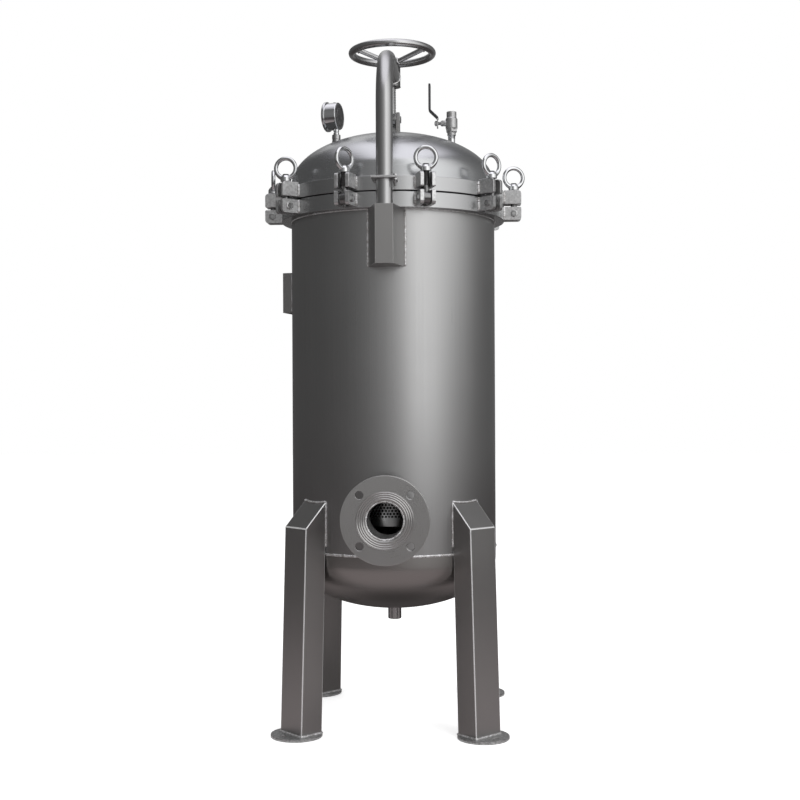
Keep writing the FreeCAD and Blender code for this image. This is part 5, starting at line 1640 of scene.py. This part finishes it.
@dataclass
class Closure:
    """Ears, hinge pins, swing bolts and eye nuts round the two flanges."""

    count: int = 10
    first: float = 18.0
    circle: float = 298.0
    pin_z: float = 1232.0
    gap: float = 18.4
    thick: float = 9.0
    pin: float = 6.0
    head: float = 7.8
    head_depth: float = 3.5
    eye: float = 14.0
    eye_width: float = 17.6
    stud: float = 8.0
    tip: float = 1308.0
    nut_foot: float = 1290.6
    nut: tuple[float, float] = (12.5, 10.0)
    nut_heights: tuple[float, float] = (9.0, 14.0)
    ring: float = 23.4
    bar: float = 4.8
    ring_rise: float = 31.0
    ring_turns: tuple[float, ...] = (-15, -14, -75, 20, 60, -35, 10, 10, 50, 66)
    ear_welds: tuple[tuple[str, float, float], ...] = (("vessel", 1217.0, 1247.0), ("lid", 1256.0, 1284.0))
    rim: float = RIM

    @property
    def azimuths(self) -> list[float]:
        """Where the ten stations stand."""
        return [self.first + 360.0 / self.count * number for number in range(self.count)]

    def ears(self) -> None:
        """Both rings of ears with rounded edges, and the beads at their roots."""
        softened("body_ears", "vessel", PLATE_STEEL, 1.1)
        softened("lid_ears", "lid", PLATE_STEEL, 1.1)
        half = self.gap / 2
        outside, inside = half + self.thick + 0.8, half - 0.6
        for body, low, high in self.ear_welds:
            for x, width in ((outside, 3.9), (-outside, 3.9), (inside, 1.8), (-inside, 1.8)):
                line = upright(x, -math.sqrt(self.rim ** 2 - x ** 2) - 0.6, low, high, 14)
                SEAMS.lay(body, line, (0, -1, 0), width, 1.0, 4.6, self.azimuths)

    def pins(self) -> None:
        """Hinge pins: a round bar with a chamfered hexagon at each end."""
        half = self.gap / 2 + self.thick
        skin = Skin()
        for side in (-1.0, 1.0):
            spot = (side * half, -self.circle, self.pin_z)
            skin.grid(crosswise(hexed(self.head, 0.0, self.head_depth, 5.3, "high"), spot, side))
            end = threaded(5.2, half - 1.0, half + self.head_depth - 0.2, 0.9, 0.4, tip=0.8, steps=28)
            skin.rod(crosswise(end, (0, -self.circle, self.pin_z), side))
        bar = turned(np.array([[0, -half], [self.pin, -half], [self.pin, half], [0, half]]), 36)
        skin.grid(crosswise(bar, (0, -self.circle, self.pin_z))).spun(self.azimuths)
        dress(skin, "hinge_bolts", "vessel", BOLT_STEEL, ("hinge_pins",))

    def bolt(self, number: int, azimuth: float) -> None:
        """One swing bolt: an eye on the pin with a threaded stud.

        Args:
            number: the station, from one.
            azimuth: where it stands.
        """
        half, bore = self.eye_width / 2, self.pin + 0.1
        eye = rounded([(bore, -half, 0.4), (self.eye, -half, 1.4), (self.eye, half, 1.4), (bore, half, 0.4)])
        spot = np.array([0.0, -self.circle, self.pin_z])
        skin = Skin().grid(crosswise(turned(eye, 56), spot))
        neck = turned(np.array([[0, 8.0], [self.stud - 0.5, 8.0], [self.stud - 0.5, 26.0], [0, 26.0]]), 32)
        skin.rod(neck + spot)
        skin.rod(threaded(self.stud, 25.0, self.tip - self.pin_z, 2.0, 1.15) + spot)
        label = f"swing_bolt_{number:02d}"
        dress(skin.spun([azimuth]), label + "_stud", label, STUD_STEEL, (label,))

    def eye_nut(self, number: int, azimuth: float) -> None:
        """One eye nut: a collar with a ring, whose bar swells at its root by half a bell curve of the angle.

        Args:
            number: the station, from one.
            azimuth: where it stands.
        """
        (wide, slim), (base, neck), bore = self.nut, self.nut_heights, self.stud + 0.1
        collar = rounded([(bore, 0.0, 0.5), (wide, 0.0, 0.8), (wide, base, 1.2), (slim, neck, 1.0),
                          (bore, neck, 0.4)])
        angle = fan(96, True)
        path = polar(self.ring, angle, 0.0)[:, [0, 2, 1]] + np.array([0.0, 0.0, self.ring_rise])
        away = np.abs((angle - 1.5 * math.pi + math.pi) % FULL - math.pi)
        size = 1.0 + 0.5 * np.exp(-(away / 0.55) ** 2)
        skin = Skin().grid(turned(collar, 56)).grid(carried(path, circle(self.bar, 20), (0, 1, 0), size)[:-1])
        skin.spun([azimuth + self.ring_turns[(number - 1) % len(self.ring_turns)]])
        skin.moved(spun(np.array([0.0, -self.circle, self.nut_foot]), azimuth))
        label = f"eye_nut_{number:02d}"
        dress(skin, label + "_forged", label, MIRROR_STEEL, (label,))

    def build(self) -> None:
        """Make all ten stations."""
        self.ears()
        self.pins()
        for number, azimuth in enumerate(self.azimuths, 1):
            self.bolt(number, azimuth)
            self.eye_nut(number, azimuth)


@dataclass
class GaugeUnit:
    """Pressure gauge on its boss: case, bezel, printed dial, pointer and window."""

    reach: float = 140.0
    turn: float = -105.0
    centre: float = 1481.0
    boss: float = 10.5
    boss_top: float = 1435.0
    stem: float = 7.0
    case: float = 33.5
    back: float = 9.0
    front: float = 20.0
    wall: float = 2.0
    bezel: float = 36.7
    bezel_depth: float = 7.0
    dial_back: float = 12.0
    marks: int = 50
    figures: tuple[str, ...] = ("0", "2", "4", "6", "8", "10")
    start: float = -135.0
    sweep: float = 270.0
    ink: float = 0.08
    scale: float = 29.0
    figure_circle: float = 20.0
    figure_size: float = 5.4
    boss_foot: float = 1400.0
    boss_groove: float = 1422.5

    @property
    def foot(self) -> Points:
        """Where the gauge's stem meets the floor's plane."""
        return np.array([-self.reach, 0.0, 0.0])

    def placed(self, points: Points) -> Points:
        """Points round a z axis that comes out of the dial, put into the part's frame."""
        return spun(fronted(points, (0, 0, self.centre)), self.turn) + self.foot

    def housing(self) -> None:
        """Case with an embossed back, rolled bezel, stem and filler plug."""
        face, back = self.front + self.bezel_depth, -self.back
        inner, floor = self.case - self.wall, 2.0 - self.back
        shell = rounded([
            (0, back), (19.0, back, 0.8), (21.0, 0.9 + back, 0.8), (27.0, 0.9 + back, 0.8), (28.5, back, 0.8),
            (self.case, back, 2.6), (self.case, self.front, 0.4), (self.bezel, self.front, 0.9),
            (self.bezel, face, 2.2), (inner, face, 0.8), (inner, floor, 0.6), (0, floor)])
        skin = Skin().grid(self.placed(turned(shell, 120)))
        tip = face - self.dial_back + 1.0 + self.back
        spindle = turned(np.array([[0, 0], [2.0, 0], [2.0, tip], [0, tip]]), 20)
        skin.grid(self.placed(spindle + np.array([0, 0, back])))
        low, high = self.boss_top, self.centre - self.case + 1.0
        wide, slim = self.stem, self.stem - 1.2
        stem = rounded([(0, low), (wide, low, 0.6), (wide, low + 5.0, 0.5), (slim, low + 5.6),
                        (slim, low + 7.4), (wide, low + 8.0, 0.5), (wide, high), (0, high)])
        skin.grid(turned(stem, 48) + self.foot)
        dress(skin, "gauge_housing", "lid", MIRROR_STEEL, ("gauge_case",))
        # The pressed back is darker than the case around it: painted shade on the gauge's back.
        pressed = turned(rounded([(0, -0.4), (18.6, -0.4, 0.5), (18.6, 0.3), (28.8, 0.3), (30.5, -0.5, 0.6),
                                  (31.4, 0.3), (31.4, 1.0), (0, 1.0)]), 96)
        pressed = self.placed(pressed + np.array([0, 0, back]))
        dress(Skin().grid(pressed), "stamped_back_painted_shade", "lid", BACK_SHADE_STEEL)
        plug = turned(rounded([(0, 32.8), (4.2, 32.8), (4.2, 34.6, 0.7), (0, 34.6)]), 32)
        lifted = laid(plug, (1, 0, 0), UP, (0, 1, 0), (0, 0, 4.0))
        dress(Skin().grid(self.placed(lifted)), "filler_plug", "lid", RUBBER)

    def socket(self) -> None:
        """The boss on the dome: two turned bands with a groove between, and its weld."""
        low, groove, slim = self.boss_foot, self.boss_groove, self.boss - 1.0
        boss = rounded([(0, low), (self.boss, low), (self.boss, groove - 1.5, 0.6), (slim, groove - 0.9),
                        (slim, groove + 0.9), (self.boss, groove + 1.5, 0.6), (self.boss, self.boss_top, 1.2),
                        (0, self.boss_top)])
        dress(Skin().grid(turned(boss, 64) + self.foot), "gauge_socket", "lid", BOLT_STEEL,
              ("gauge_boss",))
        SEAMS.lay("lid", dome_ring(-self.reach, self.boss), UP, 2.3, 0.9)

    def dial(self) -> None:
        """White dial with ticks and plain numbers over 270 degrees."""
        level = self.front + self.bezel_depth - self.dial_back
        printed, edge = level + self.ink, self.case - self.wall - 0.3
        disc = rounded([(2.1, level - 1.0), (edge, level - 1.0), (edge, level, 0.2), (2.1, level)])
        dress(Skin().grid(self.placed(turned(disc, 96))), "dial_face", "lid", DIAL_PAINT,
              ("gauge_dial",))
        number = np.arange(self.marks + 1)
        angle = np.radians(self.start + self.sweep * number / self.marks)[:, None]
        long = np.where(number % 10 == 0, 5.0, np.where(number % 5 == 0, 3.8, 2.4))[:, None]
        wide = np.where(number % 10 == 0, 0.42, 0.22)[:, None]
        radius = self.scale - long * np.array([[1, 1, 0, 0]])
        side = wide * np.array([[-1, 1, 1, -1]])
        x = radius * np.sin(angle) + side * np.cos(angle)
        y = radius * np.cos(angle) - side * np.sin(angle)
        skin = Skin().patches(self.placed(np.stack([x, y, 0 * x + printed], axis=-1)))
        rim = np.radians(np.linspace(self.start, self.start + self.sweep, 91))
        band = np.stack([polar(reach, FULL / 4 - rim, printed) for reach in (self.scale, self.scale + 0.5)],
                        axis=1)
        skin.grid(self.placed(band), across=False, along=False)
        dress(skin, "dial_scale", "lid", BLACK_PAINT)
        gathered = bmesh.new()
        for place, text in enumerate(self.figures):
            curve = bpy.data.curves.new("figure", "FONT")
            curve.body, curve.size = text, self.figure_size
            curve.align_x, curve.align_y = "CENTER", "CENTER"
            letter = linked("figure", curve)
            mesh = evaluated(letter)
            bpy.data.objects.remove(letter)
            turn = math.radians(self.start + self.sweep * place / (len(self.figures) - 1))
            points = np.empty(len(mesh.vertices) * 3)
            mesh.vertices.foreach_get("co", points)
            spot = polar(self.figure_circle, FULL / 4 - turn, printed)
            points = self.placed(points.reshape(-1, 3) + spot) * MM
            mesh.vertices.foreach_set("co", points.ravel())
            gathered.from_mesh(mesh)
        figures = bpy.data.meshes.new("dial_figures")
        gathered.to_mesh(figures)
        gathered.free()
        dress(figures, "dial_figures", "lid", BLACK_PAINT)

    def build(self) -> None:
        """Make all of it."""
        self.housing()
        self.socket()
        self.dial()
        softened("gauge_window", "lid", GLASS, 0.3, 1)
        softened("gauge_pointer", "gauge_pointer", BLACK_PAINT, 0.12, 1)


@dataclass
class VentValve:
    """Small ball valve on its nipple, with a cranked lever and a dipped grip."""

    reach: float = 146.0
    nipple: float = 9.0
    foot: float = 1428.0
    neck: float = 10.5
    barrel: float = 15.0
    low: float = 1439.0
    high: float = 1470.0
    end: float = 12.2
    top: float = 1487.0
    bore: float = 8.0
    bore_floor: float = 1471.0
    stem_z: float = 1459.0
    stem: float = 4.0
    root: float = 1395.0
    crank: float = 19.5
    arm: float = 34.5

    def sideways(self, points: Points) -> Points:
        """Points round a z axis that runs from the valve's middle along its stem, put into the part's frame."""
        return laid(points, (0, 1, 0), (0, 0, -1), (-1, 0, 0), (self.reach, 0, self.stem_z))

    def body(self) -> None:
        """Cast body with a hexagon at its foot, a bevelled mouth with threads, and its gland."""
        flank = np.arange(self.bore_floor + 1.0, self.top - 1.6, 0.35)[::-1]
        mouth = np.stack([self.bore + 0.35 * np.abs((flank / 0.7) % 2.0 - 1.0), flank], axis=1)
        barrel, middle = self.barrel - 0.3, np.array([self.reach, 0, 0])
        outline = rounded([
            (0, self.foot), (self.neck, self.foot, 0.6), (self.neck, self.low - 5.0, 1.0),
            (barrel, self.low + 8.0, 2.0), (barrel, self.high - 1.0, 2.5), (self.end, self.high + 2.6, 1.0),
            (self.end, self.top, 1.2), (self.bore + 1.6, self.top, 0.3)])
        floor = [[self.bore, self.bore_floor], [0, self.bore_floor]]
        profile = np.concatenate([outline, [[self.bore, self.top - 1.5]], mouth, floor])
        skin = Skin().grid(turned(profile, 88) + middle)
        skin.grid(hexed(12.9, self.low - 2.0, self.low + 9.5, 2.0) + middle)
        inner = self.stem + 0.1
        gland = rounded([(inner, 8.0), (7.4, 8.0), (7.4, 17.6, 0.6), (6.2, 17.8), (6.2, 27.0, 0.8),
                         (inner, 27.0, 0.4)])
        skin.grid(self.sideways(turned(gland, 48)))
        dress(skin, "valve_casting", "lid", CAST_STEEL, ("valve_body",))
        nuts = Skin().grid(self.sideways(hexed(6.45, 19.0, 25.0, self.stem + 0.2)))
        dress(nuts, "gland_nut", "lid", BOLT_STEEL)

    def pipe(self) -> None:
        """The bright nipple with threads under the valve, and its weld."""
        skin = Skin().rod(threaded(self.nipple, self.foot - 8.0, self.foot, 1.3, 0.6, tip=0.1))
        low, high = self.root, self.foot - 7.5
        skin.grid(turned(np.array([[0, low], [8.6, low], [8.6, high], [0, high]]), 56))
        skin.moved(np.array([self.reach, 0, 0]))
        dress(skin, "vent_pipe", "lid", MIRROR_STEEL, ("vent_nipple",))
        SEAMS.lay("lid", dome_ring(self.reach, self.nipple), UP, 2.2, 0.9)

    def lever(self) -> None:
        """Pressed lever with one crank, its stem and nut, and the vinyl dip over its end."""
        x = self.reach - self.arm
        out = x - self.crank
        path = bent([(x, 0, 1448.0), (x, 0, 1472.0), (out, 0, 1491.5), (out, 0, 1555.6)], [7.0, 7.0])
        strip = carried(path, box_section(1.5, 9.5, 0.7), (0, 1, 0))
        skin = Skin().tube(strip)
        skin.rod(self.sideways(threaded(self.stem, 16.6, 42.0, 0.9, 0.4, tip=0.8, steps=24)))
        skin.grid(self.sideways(hexed(5.6, 36.0, 41.0, 2.0)))
        dress(skin, "lever_strip", "vent_lever", BOLT_STEEL, ("vent_lever",))
        spots = bent([(x, 0, 1469.0), (x, 0, 1472.5), (out, 0, 1491.5), (out, 0, 1557.0)], [5.0, 7.0])
        steps, taper = 60, 4.0
        middle, along = evenly(spots, steps), np.linspace(0.0, travelled(spots)[-1], steps)
        away = np.clip(np.minimum(along, along[-1] - along) / taper, 0.0, 1.0)
        size = 1.0 - 0.28 * (1.0 - np.sqrt(1.0 - (1.0 - away) ** 2))
        dip = carried(middle, box_section(2.7, 10.7, 2.2, 6), (0, 1, 0), size)
        dress(Skin().tube(dip), "lever_dip", "vent_lever", VINYL)

    def build(self) -> None:
        """Make all of it."""
        self.body()
        self.pipe()
        self.lever()


@dataclass
class Nameplate:
    """Folded bracket at the rear left with a bare riveted plate."""

    azimuth: float = -101.5
    reach: float = 268.0
    low: float = 994.0
    width: float = 120.0
    height: float = 99.0
    shell: float = SHELL

    def build(self) -> None:
        """Round the bracket's edges, rivet the plate on and weld the bracket's sides."""
        softened("nameplate_bracket", "vessel", LEG_STEEL, 0.9, 2)
        half_a, half_b = self.width / 2 - 6.0, self.height / 2 - 6.0
        middle = self.low + self.height / 2
        sheet = box_section(half_a, half_b, 4.0, 5)
        layers = np.stack([np.column_stack([sheet * share, np.full(len(sheet), rise)])
                           for share, rise in ((1.0, 0.0), (1.0, 0.7), (0.992, 0.9), (0.96, 0.9))])
        spot = (0, -self.reach, middle)
        skin = Skin().tube(fronted(layers, spot))
        rivet = turned(rounded([(0, 0.8), (2.6, 0.8), (2.3, 1.9, 0.8), (0, 2.3)]), 24)
        for across in (-half_a + 6.0, half_a - 6.0):
            for up in (-half_b + 6.0, half_b - 6.0):
                skin.grid(fronted(rivet + np.array([across, up, 0]), spot))
        dress(skin.spun([self.azimuth]), "bare_plate", "vessel", TUBE_STEEL)
        for side in (-1.0, 1.0):
            x = side * (self.width / 2 + 0.8)
            line = upright(x, -math.sqrt(self.shell ** 2 - x ** 2) - 0.6, self.low + 2.0,
                           self.low + self.height - 2.0, 26)
            SEAMS.lay("vessel", line, (side, 0, 0), 2.2, 0.9, azimuths=(self.azimuth,))


@dataclass
class Internals:
    """Ledge, tube sheet, perforated baskets, felt bags and hold-down inside the vessel."""

    azimuths: tuple[float, ...] = (0.0, 120.0, 240.0)
    circle: float = 120.0
    basket: float = 80.0
    wall: float = 2.0
    foot: float = 482.0
    sheet_top: float = 980.0
    rim: float = 92.0
    rim_thick: float = 5.0
    bag: float = 77.5
    bag_foot: float = 484.5
    bag_top: float = 985.0
    collar: float = 88.0
    collar_thick: float = 8.0
    band: float = 24.0
    plain: float = 22.0
    felt: float = 1.6
    play: float = 0.9

    def baskets(self) -> None:
        """Perforated cans with a plain band at the foot, a plain floor and a turned rim."""
        inner, brim = self.basket - self.wall, self.sheet_top + self.rim_thick
        outline = rounded([
            (0, self.foot), (self.basket, self.foot, 1.5), (self.basket, self.foot + self.band),
            (self.basket, self.sheet_top), (self.rim, self.sheet_top, 0.8), (self.rim, brim, 0.8),
            (inner, brim, 0.6), (inner, self.foot + self.band), (inner, self.foot + self.wall),
            (0, self.foot + self.wall)])
        cans = Skin().grid(turned(outline, 120) + np.array([0, -self.circle, 0])).spun(self.azimuths)
        finish = Perforated("basket_sheet", self.circle, self.foot + self.plain, self.sheet_top - self.plain)
        dress(cans, "basket_cans", "vessel", finish, ("strainer_baskets",))

    def bags(self) -> None:
        """Felt bags pressed into the baskets: shallow folds, a stitched side seam and a soft collar.

        The radius is the bag's less its play, give or take under a millimetre by three waves of the angle that
        drift with the height, and the floor rises and falls with the angle and the share of the radius.
        """
        angle, middle = fan(160)[:, None], np.array([0, -self.circle, 0])
        height = np.linspace(self.bag_foot + 3.0, self.bag_top, 150)[None]
        for number, azimuth in enumerate(self.azimuths):
            phase = np.random.default_rng(40 + number).uniform(0.0, FULL, 4)
            drift = height / 90.0
            wave = np.sin(5 * angle + phase[0] + 1.3 * np.sin(drift))
            wave = wave + 0.7 * np.sin(11 * angle - drift + phase[1])
            wave = wave + 0.5 * np.sin(height / 13.0 + 3 * np.sin(2 * angle + phase[2]))
            radius = self.bag - self.play + 0.4 * wave
            share = np.linspace(0.02, 0.985, 24)[None]
            sag = self.bag_foot + 3.0 * share ** 8 + 0.5 * share * (1 + np.sin(7 * angle + phase[3]))
            floor = polar(radius[:, :1] * share, angle, sag)
            cloth = Skin().rod(np.concatenate([floor, polar(radius, angle, height)], axis=1) + middle)
            name = f"felt_bag_{number + 1}"
            piece = dress(cloth.spun([azimuth]).mesh(name, 80.0), name, "vessel", FELT)
            fold = piece.modifiers.new("thickness", "SOLIDIFY")
            fold.thickness = self.felt * MM
            fold.offset = -1.0
            bag = evaluated(piece)
            piece.modifiers.clear()
            piece.data = bag
            inside, foot, brim = self.bag - 3.0, self.bag_top + 0.1, self.bag_top + self.collar_thick
            ring = rounded([(inside, foot, 1.5), (self.collar, foot, 2.5), (self.collar, brim, 3.2),
                            (inside, brim, 2.5)], 5)
            collar = Skin().grid(turned(ring, 96) + middle).spun([azimuth])
            collar = dress(collar, name + "_collar", "vessel", FELT)
            seam = upright(0.0, -self.circle - self.bag + 3.2, self.bag_foot + 6.0, self.bag_top - 2.0, 2)
            stitch = Skin()
            bead(stitch, spun(seam, azimuth), (1, 0, 0), 1.1, 60 + number, 1.0, 5.0)
            stitch = dress(stitch, name + "_seam", "vessel", FELT)
            if number == 0:
                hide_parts("filter_bags")

    def build(self) -> None:
        """Make all of it."""
        softened("support_ring", "vessel", PLATE_STEEL, 0.8, 2)
        softened("tube_sheet", "vessel", PLATE_STEEL, 0.8, 2)
        softened("hold_down", "vessel", BOLT_STEEL, 0.9, 2)
        softened("hold_down_nut", "vessel", BOLT_STEEL, 1.6, 3)
        self.baskets()
        self.bags()


def main() -> None:
    """Build the studio, every sub-assembly and the beads of weld that they laid."""
    Studio().build()
    parts = [Vessel(), Nozzle("outlet", 511.0, 0.0), Nozzle("inlet", 1070.0, 180.0), Legs(), Davit(), Lid(),
             Handwheel(), Closure(), GaugeUnit(), VentValve(), Nameplate(), Internals()]
    for part in parts:
        part.build()
    SEAMS.build()


if __name__ == "__main__":
    logging.basicConfig(level=logging.INFO)
    bpy.context.scene.view_settings.view_transform = "Standard"
    main()
